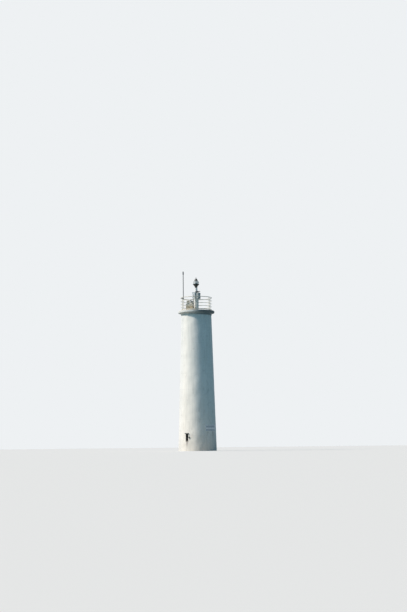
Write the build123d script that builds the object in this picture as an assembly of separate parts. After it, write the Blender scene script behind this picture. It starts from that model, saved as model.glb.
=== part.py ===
from build123d import *
import os
from math import asin, cos, degrees, radians, sin, sqrt

os.makedirs("parts", exist_ok=True)

# A small harbour lighthouse: a tapered concrete tube with a railed gallery,
# and a lantern on a steel column. Millimetres. The origin is the centre of the
# foot, +Z is up, the window is on the -Y side, the door on the +Y side.
# Angles are measured from +X, counter-clockwise from above.

# Clearances
SEAT = 0.3
FLOOR_JOINT = 0.5
LEAF_GAP = 4.0
WELD = 1.0

# Shaft
BASE_RADIUS = 1500.0
HEAD_RADIUS = 1182.0
SHAFT_HEIGHT = 10820.0
WALL_AT_FOOT = 250.0
WALL_AT_HEAD = 200.0
STAVES = ("right", "back_right", "back", "back_left", "left", "front_left", "front", "front_right")
STAVE_SPAN = 360.0 / len(STAVES)

# Doorway and door, at the back
DOOR_WIDTH = 800.0
DOOR_HEIGHT = 1950.0
THRESHOLD_HEIGHT = 150.0
DOOR_SETBACK = 22.0
DOOR_FRAME_DEPTH = 110.0
DOOR_FRAME_FACE = 45.0
DOOR_STOP = 14.0
LEAF_THICKNESS = 45.0
LEAF_RECESS = 10.0
LEAF_PANEL_MARGIN = 95.0
LEAF_PANEL_DEPTH = 10.0
LEAF_PANEL_CORNER = 30.0
LEAF_MIDDLE_RAIL = 120.0
HINGE_RADIUS = 13.0
HINGE_LENGTH = 120.0
HINGE_STRAP = (52.0, 96.0)
HINGE_INSET = 260.0
HANDLE_HEIGHT = 1000.0
HANDLE_PLATE = (60.0, 8.0, 180.0)
HANDLE_RADIUS = 10.0
HANDLE_REACH = 45.0
HANDLE_LENGTH = 130.0
HANDLE_EDGE = 75.0

# Slit window, on the left of the front
WINDOW_ANGLE = -123.6
WINDOW_WIDTH = 240.0
WINDOW_HEIGHT = 560.0
WINDOW_SILL = 765.0
WINDOW_SETBACK = 55.0
SASH_FACE = 24.0
SASH_DEPTH = 50.0
SASH_BARS = (215.0, 455.0)
GLASS_THICKNESS = 6.0
HOOD_WIDTH = 340.0
HOOD_HEIGHT = 55.0
HOOD_REACH = 85.0
HOOD_FALL = 18.0
HOOD_ABOVE = 8.0

# Gallery
SLAB_RADIUS = 1430.0
SLAB_THICKNESS = 160.0
SLAB_ARRIS = 14.0
DRIP_RADIUS = 1385.0
DRIP_WIDTH = 22.0
DRIP_DEPTH = 14.0
COVE_DEPTH = 190.0
COVE_REACH = 128.0
COVE_LIP = 16.0
HATCH_WIDTH = 560.0
HATCH_LENGTH = 520.0
HATCH_CENTRE_Y = 600.0
CURB_WIDTH = 45.0
CURB_HEIGHT = 90.0
COVER_THICKNESS = 8.0
COVER_LIP = 40.0
COVER_PLAY = 6.0
COVER_HANDLE_LENGTH = 160.0
COVER_HANDLE_RISE = 45.0
COVER_HANDLE_RADIUS = 8.0
COVER_HANDLE_OFFSET = 175.0

# Railing
BAYS = ("right", "back_right", "back_left", "left", "front_left", "front_right")
RAILING_RADIUS = 1215.0
FIRST_POST = -34.0
POST_RADIUS = 24.0
POST_FOOT_RADIUS = 70.0
POST_FOOT_THICKNESS = 14.0
POST_COLLAR_RADIUS = 34.0
POST_COLLAR_HEIGHT = 45.0
HANDRAIL_HEIGHT = 1060.0
HANDRAIL_RADIUS = 24.0
MIDRAILS = (345.0, 580.0, 815.0)
MIDRAIL_HEIGHT = 26.0
MIDRAIL_THICKNESS = 10.0
TOE_RAIL_RISE = 90.0
TOE_RAIL_HEIGHT = 60.0
TOE_RAIL_THICKNESS = 8.0

# Lightning mast
MAST_ANGLE = 206.0
MAST_INBOARD = 92.0
MAST_RADIUS = 28.0
MAST_FOOT = 930.0
MAST_TOP = 3130.0
MAST_HEAD_RADIUS = 45.0
MAST_HEAD_LENGTH = 270.0
MAST_TIP_RADIUS = 11.0
CLAMP_HEIGHTS = (965.0, 1005.0)
CLAMP_THICKNESS = 20.0
CLAMP_WRAP = 12.0

# Lantern column
COLUMN_RADIUS = 190.0
COLUMN_TOP = 1490.0
BASE_PLATE_RADIUS = 285.0
BASE_PLATE_THICKNESS = 20.0
GUSSETS = 8
GUSSET_HEIGHT = 130.0
GUSSET_THICKNESS = 10.0
BASE_SLEEVE = 8.0
HEAD_PLATE_RADIUS = 222.0
HEAD_PLATE_THICKNESS = 22.0
STEM_RADIUS = 108.0
STEM_LENGTH = 310.0
STEM_FOOT_RADIUS = 155.0
STEM_FOOT_THICKNESS = 16.0

# Lantern
BODY_HEIGHT = 340.0
BODY_RADIUS = 250.0
BODY_FOOT_RADIUS = 90.0
BODY_WAIST = (130.0, 190.0)
BODY_RIM = 34.0
LENS_RADIUS = 220.0
LENS_HEIGHT = 195.0
LENS_WALL = 9.0
LENS_RIBS = 5
LENS_RIB_DEPTH = 7.0
LENS_SHOULDER = 60.0
CAP_RADIUS = 150.0
CAP_HEIGHT = 170.0
CAP_SHOULDER = 115.0
CAP_CURB = 22.0
SPIKE_FOOT_RADIUS = 44.0
SPIKE_RADIUS = 24.0
SPIKE_TIP_RADIUS = 5.0
SPIKE_HEIGHT = 140.0
LAMP_RADIUS = 62.0
LAMP_HEIGHT = 150.0
LAMP_STEM_RADIUS = 30.0
LAMP_STEM_HEIGHT = 50.0

# Equipment on the column
CABINET_ANGLE = 240.0
CABINET_SIZE = (190.0, 260.0, 480.0)
CABINET_FOOT = 1010.0
CABINET_STANDOFF = 25.0
CABINET_CORNER = 14.0
CABINET_DOOR = (24.0, 204.0, 424.0)
CABINET_DOOR_CORNER = 4.0
DRUM_ANGLE = -62.0
DRUM_RADIUS = 165.0
DRUM_HEIGHT = 520.0
DRUM_FOOT = 950.0
DRUM_STANDOFF = 22.0
DRUM_DOME = 60.0
DRUM_FOOT_ROUND = 40.0
BRACKET_WIDTH = 80.0
BRACKET_HEIGHT = 60.0
BRACKET_BITE = 40.0
PANEL_ANGLE = -60.0
PANEL_SIZE = (280.0, 300.0, 34.0)
PANEL_ARM_ABOVE = 4.0
PANEL_ARM_WIDTH = 50.0
PANEL_ARM_THICKNESS = 12.0
PANEL_CORNER = 5.0
PANEL_RIM = 10.0
PANEL_RECESS = 5.0

# Equipment on the deck
BATTERY_ANGLE = -8.0
BATTERY_CENTRE = (-525.0, -310.0)
BATTERY_SIZE = (520.0, 340.0, 500.0)
BATTERY_SKID = (50.0, 50.0)
BATTERY_CORNER = 20.0
LID_THICKNESS = 45.0
LID_OVERHANG = 16.0
LID_BEVEL = 15.0
BOARD_CENTRE = (-620.0, 120.0)
BOARD_ANGLE = -8.0
BOARD_SIZE = (320.0, 12.0, 300.0)
BOARD_FOOT = 600.0
BOARD_LEG = 40.0
BOARD_LEG_INSET = 50.0
BOARD_LEG_PLATE = 110.0
BOARD_LEG_PLATE_THICKNESS = 10.0
STAND_PIPE_CENTRE = (-470.0, 390.0)
STAND_PIPE_RADIUS = 45.0
STAND_PIPE_HEIGHT = 1000.0
STAND_PIPE_COWL = 70.0
STAND_PIPE_COWL_RADIUS = 72.0
STAND_PIPE_FLANGE = 84.0
STAND_PIPE_TIP = 13.0
CONDUIT_ANGLE = 180.0
CONDUIT_RADIUS = 22.0
CONDUIT_STANDOFF = 20.0
CONDUIT_BEND = 66.0
CONDUIT_TOP = 1010.0
OUTER_RISER_STEP = 168.0
OUTER_RISER_TOP = 960.0
TRAY_RANGE = (240.0, 830.0)
TRAY_THICKNESS = 8.0

# Heights that follow from the sizes above
DECK = SHAFT_HEIGHT + SLAB_THICKNESS
DOOR_HEAD = THRESHOLD_HEIGHT + DOOR_HEIGHT


def keep(name, shape):
    """Write one named piece."""
    export_step(shape, f"parts/{name}.step")


def turned(outline, span=360.0, start=0.0):
    """A solid turned about the tower's axis from (radius, height) points."""
    face = make_face(Polyline(*[(r, 0, z) for r, z in outline], close=True))
    return Rot(0, 0, start) * revolve(face, Axis.Z, span)


def turned_edges(edges):
    """A solid turned about the tower's axis from lines and arcs in the XZ plane."""
    return revolve(make_face(edges), Axis.Z, 360)


def at(angle, radius, z=0.0):
    """A place at a bearing and distance from the axis, with local +X pointing outwards."""
    return Rot(0, 0, angle) * Pos(radius, 0, z)


def upright(radius, z_low, z_high):
    """A cylinder about the local Z axis between two heights."""
    return Pos(0, 0, (z_low + z_high) / 2) * Cylinder(radius, z_high - z_low)


def block(size, z_low):
    """A box centred on the local Z axis, standing at a height."""
    return Pos(0, 0, z_low + size[2] / 2) * Box(*size)


def soft_block(size, z_low, corner):
    """A box standing at a height, with its upright edges rounded."""
    solid = block(size, z_low)
    return fillet(solid.edges().filter_by(Axis.Z), corner)


def outer_radius(z):
    """The shaft's outer radius at a height."""
    return BASE_RADIUS + (HEAD_RADIUS - BASE_RADIUS) * z / SHAFT_HEIGHT


def inner_radius(z):
    """The shaft's inner radius at a height."""
    return outer_radius(z) - WALL_AT_FOOT - (WALL_AT_HEAD - WALL_AT_FOOT) * z / SHAFT_HEIGHT


def wall_outline(z_low, z_high):
    """The shaft wall's section between two heights."""
    return [
        (inner_radius(z_low), z_low),
        (outer_radius(z_low), z_low),
        (outer_radius(z_high), z_high),
        (inner_radius(z_high), z_high),
    ]


def stave(index, z_low=0.0, z_high=SHAFT_HEIGHT):
    """One upright segment of the shaft wall."""
    return turned(wall_outline(z_low, z_high), STAVE_SPAN, (index - 0.5) * STAVE_SPAN)


# Shaft walls
def window_opening():
    """The block of space that the slit window takes out of the wall."""
    reach = 2 * WALL_AT_FOOT
    size = (2 * reach, WINDOW_WIDTH, WINDOW_HEIGHT)
    return at(WINDOW_ANGLE, outer_radius(WINDOW_SILL)) * block(size, WINDOW_SILL)


def doorway(width, z_low, z_high):
    """A block of space through the back wall, as wide as the doorway."""
    size = (width, BASE_RADIUS, z_high - z_low)
    return Pos(0, BASE_RADIUS, 0) * block(size, z_low)


for index, side in enumerate(STAVES):
    if side == "front_left":
        keep("wall_front_left", stave(index) - window_opening())
    elif side == "back":
        beside = stave(index, 0, DOOR_HEAD) - doorway(DOOR_WIDTH, 0, DOOR_HEAD)
        keep("wall_beside_door", beside)
        keep("wall_over_door", stave(index, DOOR_HEAD))
    else:
        keep(f"wall_{side}", stave(index))



def floor_disc(radius_low, radius_high):
    """A round slab as thick as the threshold is high."""
    return turned([(0, 0), (radius_low, 0), (radius_high, THRESHOLD_HEIGHT), (0, THRESHOLD_HEIGHT)])


def ground_floor():
    """The floor inside the shaft, poured in one with the door's threshold."""
    floor = floor_disc(inner_radius(0) - FLOOR_JOINT, inner_radius(THRESHOLD_HEIGHT) - FLOOR_JOINT)
    passage = doorway(DOOR_WIDTH - 2 * SEAT, 0, THRESHOLD_HEIGHT)
    return floor + (floor_disc(outer_radius(0), outer_radius(THRESHOLD_HEIGHT)) & passage)


keep("ground_floor", ground_floor())

# Door
FRAME_WIDTH = DOOR_WIDTH - 2 * SEAT
FRAME_HEIGHT = DOOR_HEIGHT - 2 * SEAT
CLEAR_WIDTH = FRAME_WIDTH - 2 * DOOR_FRAME_FACE
CLEAR_HEIGHT = FRAME_HEIGHT - DOOR_FRAME_FACE
FRAME_FACE_Y = sqrt(outer_radius(DOOR_HEAD) ** 2 - (DOOR_WIDTH / 2) ** 2) - DOOR_SETBACK
FRAME_Y = FRAME_FACE_Y - DOOR_FRAME_DEPTH / 2
FRAME_FOOT = THRESHOLD_HEIGHT + SEAT
LEAF_WIDTH = CLEAR_WIDTH - 2 * LEAF_GAP
LEAF_HEIGHT = CLEAR_HEIGHT - 2 * LEAF_GAP
LEAF_FACE_Y = FRAME_FACE_Y - LEAF_RECESS
LEAF_Y = LEAF_FACE_Y - LEAF_THICKNESS / 2
LEAF_FOOT = FRAME_FOOT + LEAF_GAP


def door_frame():
    """Steel jambs and head, with a stop behind the leaf."""
    outer = block((FRAME_WIDTH, DOOR_FRAME_DEPTH, FRAME_HEIGHT), FRAME_FOOT)
    clear = block((CLEAR_WIDTH, 2 * DOOR_FRAME_DEPTH, CLEAR_HEIGHT), FRAME_FOOT)
    stop_depth = LEAF_FACE_Y - LEAF_THICKNESS - SEAT - (FRAME_FACE_Y - DOOR_FRAME_DEPTH)
    stop_y = -DOOR_FRAME_DEPTH / 2 + stop_depth / 2
    stop = block((CLEAR_WIDTH, stop_depth, CLEAR_HEIGHT), FRAME_FOOT)
    passage = block(
        (CLEAR_WIDTH - 2 * DOOR_STOP, 2 * DOOR_FRAME_DEPTH, CLEAR_HEIGHT - DOOR_STOP), FRAME_FOOT
    )
    return Pos(0, FRAME_Y, 0) * (outer - clear + Pos(0, stop_y, 0) * (stop - passage))


def door_leaf():
    """A steel leaf with two pressed panels on its outer face."""
    leaf = Pos(0, LEAF_Y, 0) * block((LEAF_WIDTH, LEAF_THICKNESS, LEAF_HEIGHT), LEAF_FOOT)
    panel_height = (LEAF_HEIGHT - 2 * LEAF_PANEL_MARGIN - LEAF_MIDDLE_RAIL) / 2
    panel_width = LEAF_WIDTH - 2 * LEAF_PANEL_MARGIN
    for row in (0, 1):
        foot = LEAF_FOOT + LEAF_PANEL_MARGIN + row * (panel_height + LEAF_MIDDLE_RAIL)
        panel = block((panel_width, 2 * LEAF_PANEL_DEPTH, panel_height), foot)
        panel = fillet(panel.edges().filter_by(Axis.Y), LEAF_PANEL_CORNER)
        leaf -= Pos(0, LEAF_FACE_Y, 0) * panel
    return leaf


def door_hinges():
    """Three hinge knuckles over the joint between the leaf and its frame."""
    x = CLEAR_WIDTH / 2
    y = FRAME_FACE_Y + HINGE_RADIUS + SEAT
    low = LEAF_FOOT + HINGE_INSET
    high = LEAF_FOOT + LEAF_HEIGHT - HINGE_INSET
    knuckles = []
    width, length = HINGE_STRAP
    for z in (low, (low + high) / 2, high):
        knuckle = upright(HINGE_RADIUS, z - HINGE_LENGTH / 2, z + HINGE_LENGTH / 2)
        strap_depth = y - LEAF_FACE_Y - SEAT
        strap = Box(width, strap_depth, length)
        strap = Pos(-width / 2 - LEAF_GAP, -strap_depth / 2, z) * strap
        knuckles.append(Pos(x, y, 0) * (knuckle + strap))
    return Compound(children=knuckles)


def door_handle():
    """A lever handle on a back plate."""
    width, thickness, height = HANDLE_PLATE
    x = -LEAF_WIDTH / 2 + HANDLE_EDGE
    y = LEAF_FACE_Y + SEAT
    z = LEAF_FOOT + HANDLE_HEIGHT
    plate = Pos(0, thickness / 2, 0) * Box(width, thickness, height)
    neck = Rot(90, 0, 0) * Cylinder(HANDLE_RADIUS, HANDLE_REACH)
    neck = Pos(0, thickness + HANDLE_REACH / 2, 0) * neck
    lever = Rot(0, 90, 0) * Cylinder(HANDLE_RADIUS, HANDLE_LENGTH)
    lever_x = HANDLE_LENGTH / 2 - HANDLE_RADIUS
    lever = Pos(lever_x, thickness + HANDLE_REACH, 0) * lever
    return Pos(x, y, z) * (plate + neck + lever)


keep("door_frame", door_frame())
keep("door_leaf", door_leaf())
keep("door_hardware", Compound(children=[door_hinges(), door_handle()]))

# Slit window
SASH_WIDTH = WINDOW_WIDTH - 2 * SEAT
SASH_HEIGHT = WINDOW_HEIGHT - 2 * SEAT
SASH_FOOT = WINDOW_SILL + SEAT
WINDOW_HEAD = WINDOW_SILL + WINDOW_HEIGHT
SASH_RADIUS = outer_radius(WINDOW_HEAD) - WINDOW_SETBACK - SASH_DEPTH / 2


def window_frame():
    """A steel frame with two glazing bars, cut out round the glass."""
    frame = block((SASH_DEPTH, SASH_WIDTH, SASH_HEIGHT), SASH_FOOT)
    light_width = SASH_WIDTH - 2 * SASH_FACE
    edges = [SASH_FACE]
    for bar in SASH_BARS:
        edges += [bar - SASH_FACE / 2, bar + SASH_FACE / 2]
    edges.append(SASH_HEIGHT - SASH_FACE)
    for low, high in zip(edges[0::2], edges[1::2]):
        frame -= block((2 * SASH_DEPTH, light_width, high - low), SASH_FOOT + low)
    rebate = SASH_FACE / 2
    slot = (GLASS_THICKNESS + 2 * SEAT, SASH_WIDTH - 2 * rebate, SASH_HEIGHT - 2 * rebate)
    frame -= block(slot, SASH_FOOT + rebate)
    return at(WINDOW_ANGLE, SASH_RADIUS) * frame


def window_glass():
    """One pane held in the rebate all round."""
    rebate = SASH_FACE / 2 + SEAT
    pane = (GLASS_THICKNESS, SASH_WIDTH - 2 * rebate, SASH_HEIGHT - 2 * rebate)
    return at(WINDOW_ANGLE, SASH_RADIUS) * block(pane, SASH_FOOT + rebate)


def window_hood():
    """A weathering hood that slopes outwards over the window."""
    foot = WINDOW_HEAD + HOOD_ABOVE
    root = outer_radius(foot) - WINDOW_SETBACK
    tip = outer_radius(foot) + HOOD_REACH
    section = Polyline(
        (root, 0, foot),
        (tip, 0, foot),
        (tip, 0, foot + HOOD_HEIGHT - HOOD_FALL),
        (root, 0, foot + HOOD_HEIGHT),
        close=True,
    )
    hood = extrude(make_face(section), HOOD_WIDTH / 2, both=True)
    top = foot + 2 * HOOD_HEIGHT
    shaft = turned(
        [
            (0, WINDOW_SILL),
            (outer_radius(WINDOW_SILL) + SEAT, WINDOW_SILL),
            (outer_radius(top) + SEAT, top),
            (0, top),
        ]
    )
    return Rot(0, 0, WINDOW_ANGLE) * hood - shaft


keep("window_frame", window_frame())
keep("window_glass", window_glass())
keep("window_hood", window_hood())


# Gallery
def cornice():
    """The cove that carries the slab's edge out from the shaft."""
    foot = SHAFT_HEIGHT - COVE_DEPTH
    inside_low = outer_radius(foot) + SEAT
    inside_high = outer_radius(SHAFT_HEIGHT) + SEAT
    outside_low = inside_low + COVE_LIP
    outside_high = inside_high + COVE_REACH
    lip = SHAFT_HEIGHT - SEAT - COVE_LIP
    belly = (
        outside_low + (outside_high - outside_low) * (1 - cos(radians(45))),
        0,
        foot + (lip - foot) * sin(radians(45)),
    )
    edges = [
        Line((inside_low, 0, foot), (outside_low, 0, foot)),
        ThreePointArc((outside_low, 0, foot), belly, (outside_high, 0, lip)),
        Line((outside_high, 0, lip), (outside_high, 0, SHAFT_HEIGHT - SEAT)),
        Line((outside_high, 0, SHAFT_HEIGHT - SEAT), (inside_high, 0, SHAFT_HEIGHT - SEAT)),
        Line((inside_high, 0, SHAFT_HEIGHT - SEAT), (inside_low, 0, foot)),
    ]
    return turned_edges(edges)


def gallery_slab():
    """A round slab with eased arrises, a drip groove and a hatchway."""
    outline = [
        (0, SHAFT_HEIGHT),
        (DRIP_RADIUS - DRIP_WIDTH, SHAFT_HEIGHT),
        (DRIP_RADIUS - DRIP_WIDTH, SHAFT_HEIGHT + DRIP_DEPTH),
        (DRIP_RADIUS, SHAFT_HEIGHT + DRIP_DEPTH),
        (DRIP_RADIUS, SHAFT_HEIGHT),
        (SLAB_RADIUS - SLAB_ARRIS, SHAFT_HEIGHT),
        (SLAB_RADIUS, SHAFT_HEIGHT + SLAB_ARRIS),
        (SLAB_RADIUS, DECK - SLAB_ARRIS),
        (SLAB_RADIUS - SLAB_ARRIS, DECK),
        (0, DECK),
    ]
    hatchway = block((HATCH_WIDTH, HATCH_LENGTH, 3 * SLAB_THICKNESS), SHAFT_HEIGHT - SLAB_THICKNESS)
    return turned(outline) - Pos(0, HATCH_CENTRE_Y, 0) * hatchway


def hatch_curb():
    """An upstand round the hatchway."""
    outer = (HATCH_WIDTH + 2 * CURB_WIDTH, HATCH_LENGTH + 2 * CURB_WIDTH, CURB_HEIGHT)
    outer = block(outer, DECK + SEAT)
    inner = block((HATCH_WIDTH, HATCH_LENGTH, 2 * CURB_HEIGHT), DECK - CURB_HEIGHT / 2)
    return Pos(0, HATCH_CENTRE_Y, 0) * (outer - inner)


def hatch_cover():
    """A flat cover with lips turned down outside the curb, and a lifting handle."""
    inside_width = HATCH_WIDTH + 2 * (CURB_WIDTH + COVER_PLAY)
    inside_length = HATCH_LENGTH + 2 * (CURB_WIDTH + COVER_PLAY)
    seat = DECK + SEAT + CURB_HEIGHT + SEAT
    outer_width = inside_width + 2 * COVER_THICKNESS
    outer_length = inside_length + 2 * COVER_THICKNESS
    cover = block((outer_width, outer_length, COVER_LIP + COVER_THICKNESS), seat - COVER_LIP)
    cover -= block((inside_width, inside_length, 2 * COVER_LIP), seat - 2 * COVER_LIP)
    top = seat + COVER_THICKNESS
    reach = (COVER_HANDLE_LENGTH - COVER_HANDLE_RADIUS) / 2
    grip = Pos(0, 0, top + COVER_HANDLE_RISE) * Rot(0, 90, 0)
    handle = grip * Cylinder(COVER_HANDLE_RADIUS, COVER_HANDLE_LENGTH)
    for side in (-1, 1):
        leg = upright(COVER_HANDLE_RADIUS, top - COVER_THICKNESS / 2, top + COVER_HANDLE_RISE)
        handle += Pos(side * reach, 0, 0) * leg
    handle = Pos(0, -COVER_HANDLE_OFFSET, 0) * handle
    return Pos(0, HATCH_CENTRE_Y, 0) * (cover + handle)


keep("cornice", cornice())
keep("gallery_slab", gallery_slab())
keep("hatch_curb", hatch_curb())
keep("hatch_cover", hatch_cover())

# Railing
BAY_SPAN = 360.0 / len(BAYS)
HANDRAIL_Z = DECK + HANDRAIL_HEIGHT
POST_FOOT = DECK + SEAT
POST_HEAD = HANDRAIL_Z - HANDRAIL_RADIUS - SEAT


def railing_posts():
    """Round posts on flanged feet, with a sleeve collar at the foot of each."""
    posts = []
    for number in range(len(BAYS)):
        post = upright(POST_RADIUS, POST_FOOT, POST_HEAD)
        post += upright(POST_FOOT_RADIUS, POST_FOOT, POST_FOOT + POST_FOOT_THICKNESS)
        post += upright(POST_COLLAR_RADIUS, POST_FOOT, POST_FOOT + POST_COLLAR_HEIGHT)
        posts.append(at(FIRST_POST + number * BAY_SPAN, RAILING_RADIUS) * post)
    return Compound(children=posts)


def flat_rail(start, height, depth, thickness):
    """One flat bar rolled to the railing's curve, between two posts."""
    clear = degrees(asin((POST_RADIUS + SEAT) / RAILING_RADIUS))
    inside = RAILING_RADIUS - thickness / 2
    outside = RAILING_RADIUS + thickness / 2
    low = DECK + height - depth / 2
    outline = [(inside, low), (outside, low), (outside, low + depth), (inside, low + depth)]
    return turned(outline, BAY_SPAN - 2 * clear, start + clear)


def railing_bay(start):
    """A length of handrail over the posts, with three midrails and a toe rail below it."""
    section = Pos(RAILING_RADIUS, 0, HANDRAIL_Z) * Rot(90, 0, 0) * Circle(HANDRAIL_RADIUS)
    rails = [Rot(0, 0, start) * revolve(section, Axis.Z, BAY_SPAN)]
    for height in MIDRAILS:
        rails.append(flat_rail(start, height, MIDRAIL_HEIGHT, MIDRAIL_THICKNESS))
    rails.append(flat_rail(start, TOE_RAIL_RISE, TOE_RAIL_HEIGHT, TOE_RAIL_THICKNESS))
    return Compound(children=rails)


keep("railing_posts", railing_posts())
for number, side in enumerate(BAYS):
    keep(f"railing_bay_{side}", railing_bay(FIRST_POST + number * BAY_SPAN))

# Lightning mast
MAST_PLACE = at(MAST_ANGLE, RAILING_RADIUS - MAST_INBOARD)


def lightning_mast():
    """A steel pole with a thicker head."""
    pole = upright(MAST_RADIUS, DECK + MAST_FOOT, DECK + MAST_TOP - MAST_HEAD_LENGTH / 2)
    head_foot = DECK + MAST_TOP - MAST_HEAD_LENGTH
    neck = MAST_HEAD_RADIUS - MAST_RADIUS
    outline = [
        (0, head_foot),
        (MAST_RADIUS, head_foot),
        (MAST_HEAD_RADIUS, head_foot + neck),
        (MAST_HEAD_RADIUS, DECK + MAST_TOP - 2 * neck),
        (MAST_TIP_RADIUS, DECK + MAST_TOP),
        (0, DECK + MAST_TOP),
    ]
    return MAST_PLACE * (pole + turned(outline))


def mast_clamps():
    """Two flat clamps that wrap the mast and the post that carries it."""
    clamps = []
    for height in CLAMP_HEIGHTS:
        foot = DECK + height - CLAMP_THICKNESS / 2
        head = foot + CLAMP_THICKNESS
        ends = ((0, MAST_RADIUS), (MAST_INBOARD, POST_RADIUS))
        bar = Pos(MAST_INBOARD / 2, 0, 0) * block((MAST_INBOARD, 2 * POST_RADIUS, CLAMP_THICKNESS), foot)
        for x, radius in ends:
            bar += Pos(x, 0, 0) * upright(radius + SEAT + CLAMP_WRAP, foot, head)
        for x, radius in ends:
            bar -= Pos(x, 0, 0) * upright(radius + SEAT, foot - CLAMP_THICKNESS, head + CLAMP_THICKNESS)
        clamps.append(MAST_PLACE * bar)
    return Compound(children=clamps)


keep("lightning_mast", lightning_mast())
keep("mast_clamps", mast_clamps())

# Lantern column
COLUMN_FOOT = DECK + SEAT + BASE_PLATE_THICKNESS + SEAT
COLUMN_HEAD = DECK + COLUMN_TOP
STEM_FOOT = COLUMN_HEAD + SEAT + HEAD_PLATE_THICKNESS + SEAT
STEM_HEAD = STEM_FOOT + STEM_LENGTH


def column_base():
    """A base plate with a ring of gussets round the column's foot."""
    foot = DECK + SEAT
    top = foot + BASE_PLATE_THICKNESS
    plate = upright(BASE_PLATE_RADIUS, foot, top)
    inside = COLUMN_RADIUS + SEAT
    sleeve = upright(inside + BASE_SLEEVE, top - WELD, top + GUSSET_HEIGHT / 2)
    sleeve -= upright(inside, top, top + GUSSET_HEIGHT)
    base = plate + sleeve
    for number in range(GUSSETS):
        web = Polyline(
            (inside + BASE_SLEEVE / 2, 0, top - WELD),
            (BASE_PLATE_RADIUS - BASE_SLEEVE, 0, top - WELD),
            (BASE_PLATE_RADIUS - BASE_SLEEVE, 0, top + BASE_SLEEVE),
            (inside + BASE_SLEEVE, 0, top + GUSSET_HEIGHT),
            (inside + BASE_SLEEVE / 2, 0, top + GUSSET_HEIGHT),
            close=True,
        )
        gusset = extrude(make_face(web), GUSSET_THICKNESS / 2, both=True)
        base += Rot(0, 0, (number + 0.5) * 360 / GUSSETS) * gusset
    return base


def lantern_stem():
    """A tube with a flange at its foot."""
    stem = upright(STEM_RADIUS, STEM_FOOT, STEM_HEAD)
    return stem + upright(STEM_FOOT_RADIUS, STEM_FOOT, STEM_FOOT + STEM_FOOT_THICKNESS)


keep("column_base", column_base())
keep("lantern_column", upright(COLUMN_RADIUS, COLUMN_FOOT, COLUMN_HEAD))
keep("column_head_plate", upright(HEAD_PLATE_RADIUS, COLUMN_HEAD + SEAT, STEM_FOOT - SEAT))
keep("lantern_stem", lantern_stem())

# Lantern
BODY_FOOT = STEM_HEAD + SEAT
BODY_TOP = BODY_FOOT + BODY_HEIGHT
LENS_FOOT = BODY_TOP + SEAT
LENS_TOP = LENS_FOOT + LENS_HEIGHT + LENS_SHOULDER
CAP_FOOT = LENS_TOP + SEAT


def lantern_body():
    """The trumpet-shaped casting under the lens, with a rim at its top."""
    rim = BODY_TOP - BODY_RIM
    waist = (BODY_WAIST[0], 0, BODY_FOOT + BODY_WAIST[1])
    edges = [
        Line((0, 0, BODY_FOOT), (BODY_FOOT_RADIUS, 0, BODY_FOOT)),
        ThreePointArc((BODY_FOOT_RADIUS, 0, BODY_FOOT), waist, (BODY_RADIUS, 0, rim)),
        Line((BODY_RADIUS, 0, rim), (BODY_RADIUS, 0, BODY_TOP)),
        Line((BODY_RADIUS, 0, BODY_TOP), (0, 0, BODY_TOP)),
        Line((0, 0, BODY_TOP), (0, 0, BODY_FOOT)),
    ]
    return turned_edges(edges)


def lantern_lens():
    """A drum lens: a thin shell with stacked prism rings and a sloping shoulder."""
    pitch = LENS_HEIGHT / LENS_RIBS
    outline = [(LENS_RADIUS - LENS_WALL, LENS_FOOT)]
    for rib in range(LENS_RIBS):
        foot = LENS_FOOT + rib * pitch
        outline.append((LENS_RADIUS - LENS_RIB_DEPTH / 2, foot))
        outline.append((LENS_RADIUS + LENS_RIB_DEPTH / 2, foot + pitch / 2))
    drum_top = LENS_FOOT + LENS_HEIGHT
    outline.append((LENS_RADIUS - LENS_RIB_DEPTH / 2, drum_top))
    outline.append((CAP_RADIUS, LENS_TOP))
    outline.append((CAP_RADIUS - 2 * LENS_WALL, LENS_TOP))
    outline.append((LENS_RADIUS - LENS_WALL, drum_top - LENS_WALL))
    return turned(outline)


def lantern_lamp():
    """The light source on its pillar in the middle of the lens."""
    lamp = upright(LAMP_STEM_RADIUS, LENS_FOOT, LENS_FOOT + LAMP_HEIGHT)
    return lamp + upright(LAMP_RADIUS, LENS_FOOT + LAMP_STEM_HEIGHT, LENS_FOOT + LAMP_HEIGHT)


def lantern_cap():
    """An ogival cap on a curb, drawn up into a spike."""
    curb_top = CAP_FOOT + CAP_CURB
    neck = curb_top + CAP_HEIGHT
    collar = neck + SPIKE_FOOT_RADIUS - SPIKE_RADIUS
    tip = neck + SPIKE_HEIGHT
    shoulder = (CAP_SHOULDER, 0, (curb_top + neck) / 2)
    edges = [
        Line((0, 0, CAP_FOOT), (CAP_RADIUS, 0, CAP_FOOT)),
        Line((CAP_RADIUS, 0, CAP_FOOT), (CAP_RADIUS, 0, curb_top)),
        ThreePointArc((CAP_RADIUS, 0, curb_top), shoulder, (SPIKE_FOOT_RADIUS, 0, neck)),
        Line((SPIKE_FOOT_RADIUS, 0, neck), (SPIKE_RADIUS, 0, collar)),
        Line((SPIKE_RADIUS, 0, collar), (SPIKE_TIP_RADIUS, 0, tip)),
        Line((SPIKE_TIP_RADIUS, 0, tip), (0, 0, tip)),
        Line((0, 0, tip), (0, 0, CAP_FOOT)),
    ]
    return turned_edges(edges)


keep("lantern_body", lantern_body())
keep("lantern_lens", lantern_lens())
keep("lantern_lamp", lantern_lamp())
keep("lantern_cap", lantern_cap())


# Equipment on the column
PANEL_ARM_FOOT = STEM_FOOT + STEM_FOOT_THICKNESS + PANEL_ARM_ABOVE


def bracket(reach, z):
    """A short arm from the column's face, saddled to fit it."""
    length = reach + COLUMN_RADIUS
    arm = Pos(length / 2, 0, z) * Box(length, BRACKET_WIDTH, BRACKET_HEIGHT)
    return arm - upright(COLUMN_RADIUS + SEAT, z - BRACKET_HEIGHT, z + BRACKET_HEIGHT)


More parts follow.
